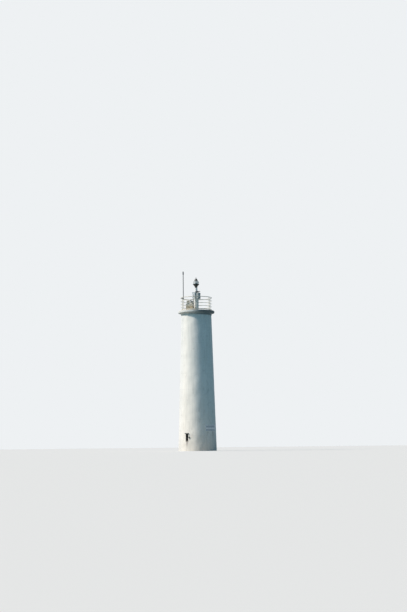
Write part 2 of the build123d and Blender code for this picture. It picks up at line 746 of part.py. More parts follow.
def control_cabinet():
    """A closed steel cabinet on two arms, its door standing proud of the box."""
    depth, width, height = CABINET_SIZE
    foot = DECK + CABINET_FOOT
    back = COLUMN_RADIUS + CABINET_STANDOFF
    box = Pos(back + depth / 2, 0, 0) * soft_block(CABINET_SIZE, foot, CABINET_CORNER)
    door = soft_block(CABINET_DOOR, foot + (height - CABINET_DOOR[2]) / 2, CABINET_DOOR_CORNER)
    box += Pos(back + depth, 0, 0) * door
    for z in (foot + height / 4, foot + height * 3 / 4):
        box += bracket(CABINET_STANDOFF + BRACKET_BITE / 2, z)
    return Rot(0, 0, CABINET_ANGLE) * box


def signal_drum():
    """A round housing with a domed top and foot, on two arms."""
    foot = DECK + DRUM_FOOT
    top = foot + DRUM_HEIGHT
    dome_radius = (DRUM_RADIUS**2 + DRUM_DOME**2) / (2 * DRUM_DOME)
    half = asin(DRUM_RADIUS / dome_radius) / 2
    crown = (dome_radius * sin(half), 0, top - dome_radius * (1 - cos(half)))
    edge = DRUM_RADIUS - DRUM_FOOT_ROUND
    heel = (edge + DRUM_FOOT_ROUND * sqrt(0.5), 0, foot + DRUM_FOOT_ROUND * (1 - sqrt(0.5)))
    edges = [
        Line((0, 0, foot), (edge, 0, foot)),
        ThreePointArc((edge, 0, foot), heel, (DRUM_RADIUS, 0, foot + DRUM_FOOT_ROUND)),
        Line((DRUM_RADIUS, 0, foot + DRUM_FOOT_ROUND), (DRUM_RADIUS, 0, top - DRUM_DOME)),
        ThreePointArc((DRUM_RADIUS, 0, top - DRUM_DOME), crown, (0, 0, top)),
        Line((0, 0, top), (0, 0, foot)),
    ]
    centre = COLUMN_RADIUS + DRUM_STANDOFF + DRUM_RADIUS
    drum = Pos(centre, 0, 0) * turned_edges(edges)
    for z in (foot + DRUM_HEIGHT / 4, foot + DRUM_HEIGHT * 3 / 4):
        drum += bracket(DRUM_STANDOFF + BRACKET_BITE, z)
    return Rot(0, 0, DRUM_ANGLE) * drum


def panel_bracket():
    """A collar on the lantern's stem with an arm under the panel."""
    foot = PANEL_ARM_FOOT
    collar = upright(STEM_RADIUS + SEAT + CLAMP_WRAP, foot, foot + PANEL_ARM_THICKNESS)
    arm_length = STEM_RADIUS + PANEL_SIZE[0]
    arm = block((arm_length, PANEL_ARM_WIDTH, PANEL_ARM_THICKNESS), foot)
    arm = Pos(arm_length / 2, 0, 0) * arm
    bore = upright(STEM_RADIUS + SEAT, foot - PANEL_ARM_THICKNESS, foot + 2 * PANEL_ARM_THICKNESS)
    return Rot(0, 0, PANEL_ANGLE) * (collar + arm - bore)


def solar_panel():
    """A small flat panel in a shallow frame."""
    foot = PANEL_ARM_FOOT + PANEL_ARM_THICKNESS + SEAT
    centre = STEM_RADIUS + CLAMP_WRAP + PANEL_SIZE[0] / 2
    panel = soft_block(PANEL_SIZE, foot, PANEL_CORNER)
    recess = (PANEL_SIZE[0] - 2 * PANEL_RIM, PANEL_SIZE[1] - 2 * PANEL_RIM, PANEL_SIZE[2])
    panel -= block(recess, foot + PANEL_SIZE[2] - PANEL_RECESS)
    return Rot(0, 0, PANEL_ANGLE) * Pos(centre, 0, 0) * panel


keep("control_cabinet", control_cabinet())
keep("signal_drum", signal_drum())
keep("solar_panel", Compound(children=[panel_bracket(), solar_panel()]))

# Equipment on the deck
BATTERY_PLACE = Pos(*BATTERY_CENTRE, 0) * Rot(0, 0, BATTERY_ANGLE)
BATTERY_FOOT = DECK + SEAT


def battery_box():
    """A chest on two skids."""
    width, depth, height = BATTERY_SIZE
    skid_width, skid_height = BATTERY_SKID
    chest = soft_block(BATTERY_SIZE, BATTERY_FOOT + skid_height, BATTERY_CORNER)
    for side in (-1, 1):
        skid = block((skid_width, depth, skid_height + BATTERY_CORNER), BATTERY_FOOT)
        chest += Pos(side * (width / 2 - skid_width), 0, 0) * skid
    return BATTERY_PLACE * chest


def battery_lid():
    """A lid with a shallow hipped top and an overhang all round."""
    width, depth, height = BATTERY_SIZE
    foot = BATTERY_FOOT + BATTERY_SKID[1] + height + SEAT
    size = (width + 2 * LID_OVERHANG, depth + 2 * LID_OVERHANG, LID_THICKNESS)
    lid = soft_block(size, foot, BATTERY_CORNER)
    top = lid.faces().sort_by(Axis.Z)[-1]
    return BATTERY_PLACE * chamfer(top.edges(), LID_BEVEL)


def service_board():
    """An upright steel board on two legs with foot plates."""
    width, thickness, height = BOARD_SIZE
    board = block((width, thickness, height), DECK + BOARD_FOOT)
    leg_top = DECK + BOARD_FOOT + height - BOARD_LEG_INSET
    leg_y = thickness / 2 + BOARD_LEG / 2 - WELD
    for side in (-1, 1):
        x = side * (width / 2 - BOARD_LEG_INSET)
        leg = block((BOARD_LEG, BOARD_LEG, leg_top - DECK - SEAT), DECK + SEAT)
        plate = block((BOARD_LEG_PLATE, BOARD_LEG_PLATE, BOARD_LEG_PLATE_THICKNESS), DECK + SEAT)
        board += Pos(x, leg_y, 0) * (leg + plate)
    return Pos(*BOARD_CENTRE, 0) * Rot(0, 0, BOARD_ANGLE) * board


def stand_pipe():
    """A vent pipe from the deck with a cowl on top."""
    foot = DECK + SEAT
    head = foot + STAND_PIPE_HEIGHT
    pipe = turned(
        [
            (0, foot),
            (STAND_PIPE_FLANGE, foot),
            (STAND_PIPE_FLANGE, foot + POST_FOOT_THICKNESS),
            (STAND_PIPE_RADIUS, foot + POST_FOOT_THICKNESS),
            (STAND_PIPE_RADIUS, head - STAND_PIPE_COWL),
            (STAND_PIPE_COWL_RADIUS, head - STAND_PIPE_COWL),
            (STAND_PIPE_COWL_RADIUS, head - STAND_PIPE_COWL / 2),
            (STAND_PIPE_TIP, head),
            (0, head),
        ]
    )
    return Pos(*STAND_PIPE_CENTRE, 0) * pipe


def cable_conduit():
    """Two risers on a tray beside the column: the inner one turns into it near the top."""
    centre = COLUMN_RADIUS + CONDUIT_STANDOFF + CONDUIT_RADIUS
    head = DECK + CONDUIT_TOP - CONDUIT_BEND
    inner = Pos(centre, 0, 0) * upright(CONDUIT_RADIUS, DECK + BASE_PLATE_THICKNESS + 2 * SEAT, head)
    bend_axis = Axis((centre - CONDUIT_BEND, 0, head), (0, -1, 0))
    inner += revolve(Pos(centre, 0, head) * Circle(CONDUIT_RADIUS), bend_axis, 90)
    outer_centre = centre + OUTER_RISER_STEP
    outer = Pos(outer_centre, 0, 0) * upright(CONDUIT_RADIUS, DECK + SEAT, DECK + OUTER_RISER_TOP)
    low, high = TRAY_RANGE
    tray = Pos(outer_centre / 2, 0, 0) * block((outer_centre, TRAY_THICKNESS, high - low), DECK + low)
    pair = inner + tray + outer
    pair -= upright(COLUMN_RADIUS + SEAT, DECK + SEAT, DECK + 2 * CONDUIT_TOP)
    return Rot(0, 0, CONDUIT_ANGLE) * pair


keep("battery_box", battery_box())
keep("battery_lid", battery_lid())
keep("service_board", service_board())
keep("stand_pipe", stand_pipe())
keep("cable_conduit", cable_conduit())
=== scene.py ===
"""The looks of a small harbour lighthouse, built round its fixed frame.

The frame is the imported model: metres, the origin at the centre of the tower's foot, +Z up,
the slit window and the notice plate on the -Y side, the door on the +Y side. Bearings are
measured in degrees from +X, counter-clockwise from above.
"""

import logging
from dataclasses import dataclass, field
from enum import Enum
from math import asin, atan, ceil, cos, degrees, pi, radians, sin, sqrt
from typing import Callable, Sequence

import bmesh
import bpy
from mathutils import Matrix, Vector

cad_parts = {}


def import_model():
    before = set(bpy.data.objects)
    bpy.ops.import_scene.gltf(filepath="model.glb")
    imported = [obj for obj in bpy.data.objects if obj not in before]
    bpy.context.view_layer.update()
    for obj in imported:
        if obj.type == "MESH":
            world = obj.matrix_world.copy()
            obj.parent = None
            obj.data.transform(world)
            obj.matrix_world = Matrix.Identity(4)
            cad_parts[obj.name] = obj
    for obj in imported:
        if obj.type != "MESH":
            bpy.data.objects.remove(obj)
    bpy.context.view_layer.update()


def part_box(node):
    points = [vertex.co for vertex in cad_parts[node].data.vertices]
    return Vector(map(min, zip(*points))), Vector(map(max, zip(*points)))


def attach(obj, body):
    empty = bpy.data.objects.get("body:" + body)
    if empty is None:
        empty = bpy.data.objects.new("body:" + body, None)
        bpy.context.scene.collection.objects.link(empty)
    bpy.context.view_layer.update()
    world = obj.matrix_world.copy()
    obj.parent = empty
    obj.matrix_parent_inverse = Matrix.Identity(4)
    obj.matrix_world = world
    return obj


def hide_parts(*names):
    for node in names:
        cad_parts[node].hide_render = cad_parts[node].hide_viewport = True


LOG = logging.getLogger("lighthouse")
ROOT = "root"

Colour = tuple[float, float, float, float]
Span = tuple[float, float]
Outline = Sequence[Span]
Size = tuple[float, float, float]
Socket = bpy.types.NodeSocket
Sockets = bpy.types.bpy_prop_collection
Vertex = bmesh.types.BMVert

# Two sides of a middle, and the turns that point a fitting's own Z axis away from a face

BOTH = (-1, 1)
UPRIGHT = Matrix.Identity(4)
FACING_FRONT = Matrix.Rotation(pi / 2, 4, "X")
FACING_BACK = Matrix.Rotation(-pi / 2, 4, "X")
FACING_OUT = Matrix.Rotation(pi / 2, 4, "Y")


def linear(code: str) -> Colour:
    """Turn a colour as it is seen into the values a shader works with.

    Args:
        code: The colour as six hexadecimal digits.

    Returns:
        Linear red, green, blue and an alpha of one.
    """
    channels = [int(code[i:i + 2], 16) / 255 for i in (0, 2, 4)]
    red, green, blue = [((c + 0.055) / 1.055) ** 2.4 if c > 0.04045 else c / 12.92 for c in channels]
    return red, green, blue, 1.0


def shaded(colour: Colour, share: float, lift: float = 0.0) -> Colour:
    """Give another tone of a colour.

    Args:
        colour: The colour, as a shader works with it.
        share: What it is multiplied by.
        lift: What is added to it then.

    Returns:
        The tone, with an alpha of one.
    """
    red, green, blue = [min(1.0, c * share + lift) for c in colour[:3]]
    return red, green, blue, 1.0


class Wear(Enum):
    """How far the weather has got at a painted steel part: the share of its skin that rusts."""

    SOUND = 0.06
    SPOTTED = 0.20
    TIRED = 0.36
    EATEN = 0.62


class Tint(Enum):
    """Colours of what the weather leaves on a surface, and of a painted highlight, as they are seen."""

    # painted highlight on the lit band of the wall
    PAINTED_HIGHLIGHT = "FFFCF2"
    FOOT_DIRT = "8C8A86"
    BLOTCH = "A29E98"
    LIFT_LINE = "94968F"
    GRIME = "7C776B"
    FRESH_RUST = "7A4526"
    OLD_RUST = "3C2A20"
    TEA_STAIN = "6B4A33"
    SALT = "D8DCD8"
    DUST = "6E7470"

    @property
    def shade(self) -> Colour:
        """Return the colour as a shader works with it."""
        return linear(self.value)


def bearing(angle: float, radius: float = 0.0, z: float = 0.0) -> Matrix:
    """Give the place at a bearing from the tower's axis.

    Args:
        angle: Bearing in degrees.
        radius: Distance from the axis.
        z: Height.

    Returns:
        A matrix whose local X points outwards, Y along the curve and Z up.
    """
    return Matrix.Rotation(radians(angle), 4, "Z") @ shift(radius, 0, z)


def shift(x: float, y: float, z: float) -> Matrix:
    """Give a move along X, Y and Z."""
    return Matrix.Translation((x, y, z))


def standing(node: str, place: Span, turn: float) -> Matrix:
    """Give the place of a thing that is turned to a bearing and stands as low as a node's foot."""
    return shift(*place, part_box(node)[0].z) @ bearing(turn)


def circle(sides: int) -> list[Span]:
    """Give the cosine and sine of each corner of a ring."""
    return [(cos(2 * pi * k / sides), sin(2 * pi * k / sides)) for k in range(sides)]


# Geometry


@dataclass
class Draft:
    """The geometry of one piece while it is being made."""

    mesh: bmesh.types.BMesh = field(default_factory=bmesh.new)

    def points(self, where: Sequence[Sequence[float]], place: Matrix) -> list[Vertex]:
        """Add points at a place and return their vertices."""
        return [self.mesh.verts.new(place @ Vector(p)) for p in where]

    def face(self, corners: Sequence[Vertex]) -> bmesh.types.BMFace | None:
        """Add a face unless two of its corners are one."""
        kept = [c for i, c in enumerate(corners) if c is not corners[i - 1]]
        return self.mesh.faces.new(kept) if len(kept) > 2 else None

    def _bridge(self, rings: Sequence[Sequence[Vertex]], loop: bool) -> None:
        """Join each ring of vertices to the next one.

        Args:
            rings: The rings, all of the same length.
            loop: Whether the last one is joined to the first.
        """
        for low, high in zip(rings, [*rings[1:], rings[0]] if loop else rings[1:]):
            for k in range(len(low)):
                n = (k + 1) % len(low)
                self.face((low[k], low[n], high[n], high[k]))

    def block(self, size: Sequence[float], place: Matrix, ease: float = 0.0) -> None:
        """Add a box about a place, with its edges eased.

        Args:
            size: Extents along the place's X, Y and Z.
            place: Where its centre goes.
            ease: Width of the eased edges.
        """
        scale = Matrix.Diagonal((*size, 1.0))
        made = bmesh.ops.create_cube(self.mesh, size=1.0, matrix=place @ scale)
        if ease:
            edges = list({e for v in made["verts"] for e in v.link_edges})
            bmesh.ops.bevel(
                self.mesh, geom=edges, offset=min(ease, 0.45 * min(size)), segments=2,
                profile=0.6, affect="EDGES",
            )

    def turned(
        self, outline: Outline, place: Matrix = UPRIGHT, sides: int = 48, loop: bool = False
    ) -> None:
        """Add a turned shape about the place's Z axis.

        Args:
            outline: Radius and height pairs, from the foot to the head of the outside.
            place: Where the axis stands.
            sides: Number of flats round the axis.
            loop: Whether the outline closes on itself, as a ring's does.
        """
        rings = []
        for radius, z in outline:
            if radius == 0:
                rings.append(self.points([(0, 0, z)], place) * sides)
            else:
                rings.append(self.points([(radius * c, radius * s, z) for c, s in circle(sides)], place))
        self._bridge(rings, loop)

    def tube(self, path: Sequence[Vector], radius: float, sides: int = 12, closed: bool = False) -> None:
        """Add a round bar along a path.

        Args:
            path: Points of its centre line.
            radius: Radius of the bar.
            sides: Number of flats round it.
            closed: Whether the path runs back to its start.
        """
        rings = []
        side = None
        for i, point in enumerate(path):
            before = path[i - 1] if closed or i else path[0]
            after = path[(i + 1) % len(path)] if closed or i < len(path) - 1 else path[-1]
            along = (after - before).normalized()
            guide = side if side is not None else along.orthogonal()
            side = (guide - along * guide.dot(along)).normalized()
            other = along.cross(side)
            ring = [point + radius * (c * side + s * other) for c, s in circle(sides)]
            rings.append(self.points(ring, UPRIGHT))
        self._bridge(rings, closed)
        if not closed:
            self.face(rings[0][::-1])
            self.face(rings[-1])

    def pin(self, place: Matrix, radius: float, half: float, sides: int = 16) -> None:
        """Add a round pin.

        Args:
            place: Its middle, with local Z along it.
            radius: Its radius.
            half: Half its length.
            sides: Number of flats round it.
        """
        self.turned([(0, -half), (radius, -half), (radius, half), (0, half)], place, sides)

    def band(self, place: Matrix, z: float, reach: Span, halves: Span, sides: int) -> None:
        """Add a band round an upright, narrower outside than inside.

        Args:
            place: The upright's axis.
            z: Height of the band's middle.
            reach: Its inner and its outer radius.
            halves: Half its height at those two.
            sides: Number of flats round it.
        """
        (inner, outer), (tall, low) = reach, halves
        ring = [(inner, z - tall), (outer, z - low), (outer, z + low), (inner, z + tall)]
        self.turned(ring, place, sides, loop=True)

    def bolt(self, place: Matrix, across: float) -> None:
        """Add a hexagon nut on a washer, with the end of its bolt standing out.

        Args:
            place: The seat, with local Z pointing away from it.
            across: Width of the nut across its corners.
        """
        washer = ((0, 0), (1.5, 0), (1.5, 0.18), (0, 0.18))
        nut = ((0, 0.18), (1, 0.18), (1, 0.95), (0.86, 1.1), (0, 1.1))
        stud = ((0, 1.1), (0.48, 1.1), (0.48, 1.5), (0.38, 1.6), (0, 1.6))
        for outline, sides in ((washer, 20), (nut, 6), (stud, 12)):
            self.turned([(r * across / 2, z * across / 2) for r, z in outline], place, sides)

    def curved_sheet(
        self, radius: Callable[[float], float], span: Span, rise: Span, thickness: float,
        steps: tuple[int, int] = (40, 2),
    ) -> None:
        """Add a sheet rolled round the tower, with its faces and its four edges.

        Args:
            radius: Radius of the sheet's back at a height.
            span: Its first and last bearing.
            rise: Its foot and its head.
            thickness: Thickness of the sheet.
            steps: Number of flats along and up it.
        """
        along, up = steps
        skins = []
        for offset in (0.0, thickness):
            grid = []
            for j in range(up + 1):
                z = rise[0] + (rise[1] - rise[0]) * j / up
                turns = [span[0] + (span[1] - span[0]) * i / along for i in range(along + 1)]
                row = [bearing(angle, radius(z) + offset, z).translation for angle in turns]
                grid.append(self.points(row, UPRIGHT))
            skins.append(grid)
        back, front = skins
        for j in range(up):
            for i in range(along):
                self.face((front[j][i], front[j][i + 1], front[j + 1][i + 1], front[j + 1][i]))
                self.face((back[j][i], back[j + 1][i], back[j + 1][i + 1], back[j][i + 1]))
            for i, flip in ((0, 1), (along, -1)):
                rim = (back[j][i], front[j][i], front[j + 1][i], back[j + 1][i])
                self.face(rim[::flip])
        for i in range(along):
            for j, flip in ((0, 1), (up, -1)):
                rim = (back[j][i], back[j][i + 1], front[j][i + 1], front[j][i])
                self.face(rim[::flip])

    def piece(
        self, name: str, finish: "Finish", replaces: Sequence[str] = (), crease: float = 32.0
    ) -> bpy.types.Object:
        """Turn the draft into a piece of the tower.

        Args:
            name: The piece's name.
            finish: What its surface is.
            replaces: Nodes of the frame that it stands for.
            crease: Edges sharper than this many degrees stay sharp.

        Returns:
            The piece, riding on the tower.
        """
        bmesh.ops.recalc_face_normals(self.mesh, faces=self.mesh.faces)
        data = bpy.data.meshes.new(name)
        self.mesh.to_mesh(data)
        self.mesh.free()
        data.shade_smooth()
        data.set_sharp_from_angle(angle=radians(crease))
        data.materials.append(finish.material())
        made = bpy.data.objects.new(name, data)
        bpy.context.scene.collection.objects.link(made)
        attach(made, ROOT)
        if replaces:
            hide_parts(*replaces)
        LOG.info("%s: %d faces", name, len(data.polygons))
        return made


# Shader writing


@dataclass
class Graph:
    """Writes the nodes of one shader tree."""

    tree: bpy.types.NodeTree

    def add(
        self, kind: str, given: dict[str | int, object] | None = None, **settings: object
    ) -> bpy.types.Node:
        """Add a node.

        Args:
            kind: What kind of node.
            given: What its inputs are given.
            **settings: Its properties.

        Returns:
            The node.
        """
        node = self.tree.nodes.new(kind)
        for name, value in settings.items():
            setattr(node, name, value)
        for name, value in (given or {}).items():
            self.feed(node.inputs[name], value)
        return node

    def feed(self, socket: Socket, value: object) -> None:
        """Link a socket to another, or set its value.

        Args:
            socket: The input.
            value: An output socket, a number or a colour.
        """
        if isinstance(value, bpy.types.NodeSocket):
            self.tree.links.new(value, socket)
        else:
            socket.default_value = value

    def math(self, operation: str, first: object, second: object = 0.0, clamp: bool = False) -> Socket:
        """Add one step of arithmetic and return its result."""
        given = {0: first, 1: second}
        return self.add("ShaderNodeMath", given, operation=operation, use_clamp=clamp).outputs[0]

    def times(self, first: object, second: object) -> Socket:
        """Return one value times another."""
        return self.math("MULTIPLY", first, second)

    def plus(self, first: object, second: object) -> Socket:
        """Return one value plus another."""
        return self.math("ADD", first, second)

    def minus(self, first: object, second: object) -> Socket:
        """Return one value less another."""
        return self.math("SUBTRACT", first, second)

    def blend(self, mask: object, first: object, second: object) -> Socket:
        """Mix two colours.

        Args:
            mask: Share of the second colour.
            first: Colour where the mask is nought.
            second: Colour where the mask is one.

        Returns:
            The mixed colour.
        """
        given = {"Factor": mask, "A": first, "B": second}
        node = self.add("ShaderNodeMix", given, data_type="RGBA", clamp_factor=True)
        return [s for s in node.outputs if s.type == "RGBA"][0]

    def point(self) -> Socket:
        """Return the point on the object, in metres."""
        return self.add("ShaderNodeTexCoord").outputs["Object"]

    def axes(self) -> Sockets:
        """Return the point's own X, Y and Z."""
        return self.add("ShaderNodeSeparateXYZ", {0: self.point()}).outputs

    def seen(self) -> Socket:
        """Part the rays by which the camera sees a thing from light that bounces.

        Returns:
            One for the first and nought for the second.
        """
        path = self.add("ShaderNodeLightPath").outputs
        direct = self.math("ADD", path["Is Camera Ray"], path["Is Glossy Ray"], clamp=True)
        return self.math("ADD", direct, path["Is Transmission Ray"], clamp=True)

    def stretched(self, across: float, up: float) -> Socket:
        """Return the point scaled differently across and up the tower."""
        given = {0: self.point(), 1: (across, across, up)}
        return self.add("ShaderNodeVectorMath", given, operation="MULTIPLY").outputs["Vector"]

    def noise(self, where: object, scale: object, detail: float = 4.0, rough: float = 0.55) -> Socket:
        """Return a cloudy value round one half."""
        given = {"Vector": where, "Scale": scale, "Detail": detail, "Roughness": rough}
        return self.add("ShaderNodeTexNoise", given).outputs["Fac"]

    def ramp(self, value: object, low: object, high: object, start: float = 0.0, end: float = 1.0) -> Socket:
        """Return a value mapped smoothly from between low and high to between start and end."""
        given = {"Value": value, "From Min": low, "From Max": high, "To Min": start, "To Max": end}
        return self.add("ShaderNodeMapRange", given, interpolation_type="SMOOTHSTEP").outputs["Result"]

    def bump(self, height: object, strength: float, distance: float, normal: object = None) -> Socket:
        """Return a normal that follows a height, over another normal where there is one."""
        given = {"Height": height, "Strength": strength, "Distance": distance}
        return self.add("ShaderNodeBump", given | ({"Normal": normal} if normal else {})).outputs["Normal"]


class Effect(Enum):
    """Surface effects that several finishes share, each one node group."""

    STREAKS = "weather streaks"
    FOOT_DIRT = "foot dirt"
    RUN = "run below a fitting"
    GRAIN = "surface grain"
    RUST = "rust bloom"
    EDGES = "worn edges"


class Effects:
    """Builds each shared effect once and places it in materials."""

    _inputs: dict[Effect, dict[str, float]] = {
        Effect.STREAKS: {"Scale": 3.0, "Coverage": 0.4, "Softness": 0.15},
        Effect.FOOT_DIRT: {"Foot": 0.0, "Head": 1.5, "Breakup": 0.5},
        Effect.RUN: {"X": 0.0, "Y": 0.0, "Top": 1.0, "Length": 0.5, "Width": 0.1},
        Effect.GRAIN: {"Scale": 60.0},
        Effect.RUST: {"Scale": 6.0, "Amount": 0.3},
        Effect.EDGES: {"Reach": 0.004},
    }
    _outputs: dict[Effect, tuple[str, ...]] = {
        Effect.STREAKS: ("Mask",),
        Effect.FOOT_DIRT: ("Mask",),
        Effect.RUN: ("Mask",),
        Effect.GRAIN: ("Height", "Tone"),
        Effect.RUST: ("Mask", "Tone"),
        Effect.EDGES: ("Mask",),
    }

    @classmethod
    def place(cls, graph: Graph, effect: Effect, **values: float) -> bpy.types.Node:
        """Place an effect in a material.

        Args:
            graph: The material's graph.
            effect: Which effect.
            **values: Its inputs by name.

        Returns:
            The group node, whose outputs feed the shader.
        """
        tree = bpy.data.node_groups.get(effect.value) or cls._build(effect)
        return graph.add("ShaderNodeGroup", values, node_tree=tree)

    @classmethod
    def _build(cls, effect: Effect) -> bpy.types.NodeTree:
        """Build an effect's group.

        Args:
            effect: Which effect.

        Returns:
            The new node group.
        """
        tree = bpy.data.node_groups.new(effect.value, "ShaderNodeTree")
        for name, value in cls._inputs[effect].items():
            socket = tree.interface.new_socket(name=name, in_out="INPUT", socket_type="NodeSocketFloat")
            socket.default_value = value
        for name in cls._outputs[effect]:
            tree.interface.new_socket(name=name, in_out="OUTPUT", socket_type="NodeSocketFloat")
        graph = Graph(tree)
        given = graph.add("NodeGroupInput").outputs
        results = {
            Effect.STREAKS: cls._streaks,
            Effect.FOOT_DIRT: cls._foot_dirt,
            Effect.RUN: cls._run,
            Effect.GRAIN: cls._grain,
            Effect.RUST: cls._rust,
            Effect.EDGES: cls._edges,
        }[effect](graph, given)
        graph.add("NodeGroupOutput", dict(zip(cls._outputs[effect], results)))
        return tree

    @staticmethod
    def _streaks(graph: Graph, given: Sockets) -> tuple[Socket, ...]:
        """Rain streaks: cloud drawn out down the surface, over a broader cloud.

        Args:
            graph: The group's graph.
            given: The group's inputs.

        Returns:
            The group's outputs.
        """
        fine = graph.noise(graph.stretched(2.6, 0.16), given["Scale"], 5.0, 0.62)
        broad = graph.noise(graph.stretched(0.5, 0.22), given["Scale"], 2.0)
        mixed = graph.plus(graph.times(fine, 0.65), graph.times(broad, 0.35))
        edge = graph.minus(1.0, given["Coverage"])
        middle = graph.plus(0.28, graph.times(edge, 0.44))
        low = graph.minus(middle, given["Softness"])
        high = graph.plus(middle, given["Softness"])
        return (graph.ramp(mixed, low, high),)

    @staticmethod
    def _foot_dirt(graph: Graph, given: Sockets) -> tuple[Socket, ...]:
        """Dirt that is thick at the foot and thins out, with a ragged edge.

        Args:
            graph: The group's graph.
            given: The group's inputs.

        Returns:
            The group's outputs.
        """
        cloud = graph.noise(graph.stretched(1.6, 0.7), 2.2, 6.0, 0.65)
        lift = graph.times(graph.minus(cloud, 0.5), given["Breakup"])
        span = graph.minus(given["Head"], given["Foot"])
        share = graph.math("DIVIDE", graph.minus(graph.axes()["Z"], given["Foot"]), span)
        ragged = graph.plus(share, graph.times(lift, 3.0))
        return (graph.ramp(ragged, 0.0, 1.0, 1.0, 0.0),)

    @staticmethod
    def _run(graph: Graph, given: Sockets) -> tuple[Socket, ...]:
        """A stain that runs down from a fitting and fades as it goes.

        Args:
            graph: The group's graph.
            given: The group's inputs.

        Returns:
            The group's outputs.
        """
        point = graph.axes()
        sway = graph.noise(graph.stretched(1.0, 4.0), 5.0, 3.0)
        sway = graph.times(graph.minus(sway, 0.5), given["Width"])
        across = graph.plus(graph.minus(point["X"], given["X"]), sway)
        inward = graph.minus(point["Y"], given["Y"])
        squares = graph.plus(graph.math("POWER", across, 2.0), graph.math("POWER", inward, 2.0))
        away = graph.math("SQRT", squares)
        beside = graph.ramp(away, graph.times(given["Width"], 0.25), given["Width"], 1.0, 0.0)
        fallen = graph.minus(given["Top"], point["Z"])
        fading = graph.ramp(graph.math("DIVIDE", fallen, given["Length"]), 0.0, 1.0, 1.0, 0.0)
        below = graph.ramp(fallen, -0.01, 0.01)
        threads = graph.ramp(graph.noise(graph.stretched(14.0, 0.5), 3.0, 4.0), 0.35, 0.62, 0.35, 1.0)
        mask = graph.times(graph.times(beside, fading), below)
        return (graph.times(mask, threads),)

    @staticmethod
    def _grain(graph: Graph, given: Sockets) -> tuple[Socket, ...]:
        """Fine pores and brush marks, with a broader tone.

        Args:
            graph: The group's graph.
            given: The group's inputs.

        Returns:
            The group's outputs.
        """
        fine = graph.noise(graph.point(), given["Scale"], 6.0, 0.6)
        coarse = graph.noise(graph.point(), graph.times(given["Scale"], 0.12), 3.0)
        height = graph.plus(graph.times(fine, 0.6), graph.times(coarse, 0.4))
        return height, graph.ramp(coarse, 0.3, 0.7)

    @staticmethod
    def _rust(graph: Graph, given: Sockets) -> tuple[Socket, ...]:
        """Blooms of rust, with a second value for their darker middles.

        Args:
            graph: The group's graph.
            given: The group's inputs.

        Returns:
            The group's outputs.
        """
        cloud = graph.noise(graph.stretched(1.0, 0.55), given["Scale"], 8.0, 0.7)
        edge = graph.minus(0.74, graph.times(given["Amount"], 0.38))
        mask = graph.ramp(cloud, edge, graph.plus(edge, 0.07))
        return mask, graph.noise(graph.point(), graph.times(given["Scale"], 6.0), 4.0)

    @staticmethod
    def _edges(graph: Graph, given: Sockets) -> tuple[Socket, ...]:
        """The edges, found where a rounded normal departs from the true one.

        Args:
            graph: The group's graph.
            given: The group's inputs.

        Returns:
            The group's outputs.
        """
        rounded = graph.add("ShaderNodeBevel", {"Radius": given["Reach"]}, samples=4)
        true = graph.add("ShaderNodeNewGeometry")
        normals = {0: rounded.outputs["Normal"], 1: true.outputs["Normal"]}
        dot = graph.add("ShaderNodeVectorMath", normals, operation="DOT_PRODUCT")
        ragged = graph.noise(graph.point(), 22.0, 5.0, 0.65)
        shown = graph.ramp(dot.outputs["Value"], 0.90, 0.995, 1.0, 0.0)
        return (graph.times(shown, graph.ramp(ragged, 0.42, 0.6)),)


# Finishes


@dataclass(frozen=True)
class Finish:
    """What a surface is made of."""

    name: str
    slot: str  # the record's material slot
    colour: str  # as it is seen, in hexadecimal digits
    roughness: float = 0.6

    def material(self) -> bpy.types.Material:
        """Build the material, or give the one that was built before.

        Returns:
            The material.
        """
        known = bpy.data.materials.get(self.name)
        if known:
            return known
        made = bpy.data.materials.new(self.name)
        made.use_nodes = True
        made.node_tree.nodes.clear()
        graph = Graph(made.node_tree)
        shader = graph.add("ShaderNodeBsdfPrincipled", {"Roughness": self.roughness})
        self.write(graph, shader.inputs)
        graph.add("ShaderNodeOutputMaterial", {"Surface": shader.outputs["BSDF"]})
        return made

    def write(self, graph: Graph, inputs: Sockets) -> None:
        """Write the nodes that feed the shader.

        Args:
            graph: The material's graph; not used here.
            inputs: The Principled shader's inputs; not used here.
        """
        raise NotImplementedError


@dataclass(frozen=True)
class Stain:
    """A run of dirt or rust below one fitting."""

    x: float
    y: float
    top: float  # height of its start
    length: float
    width: float
    colour: str
    strength: float


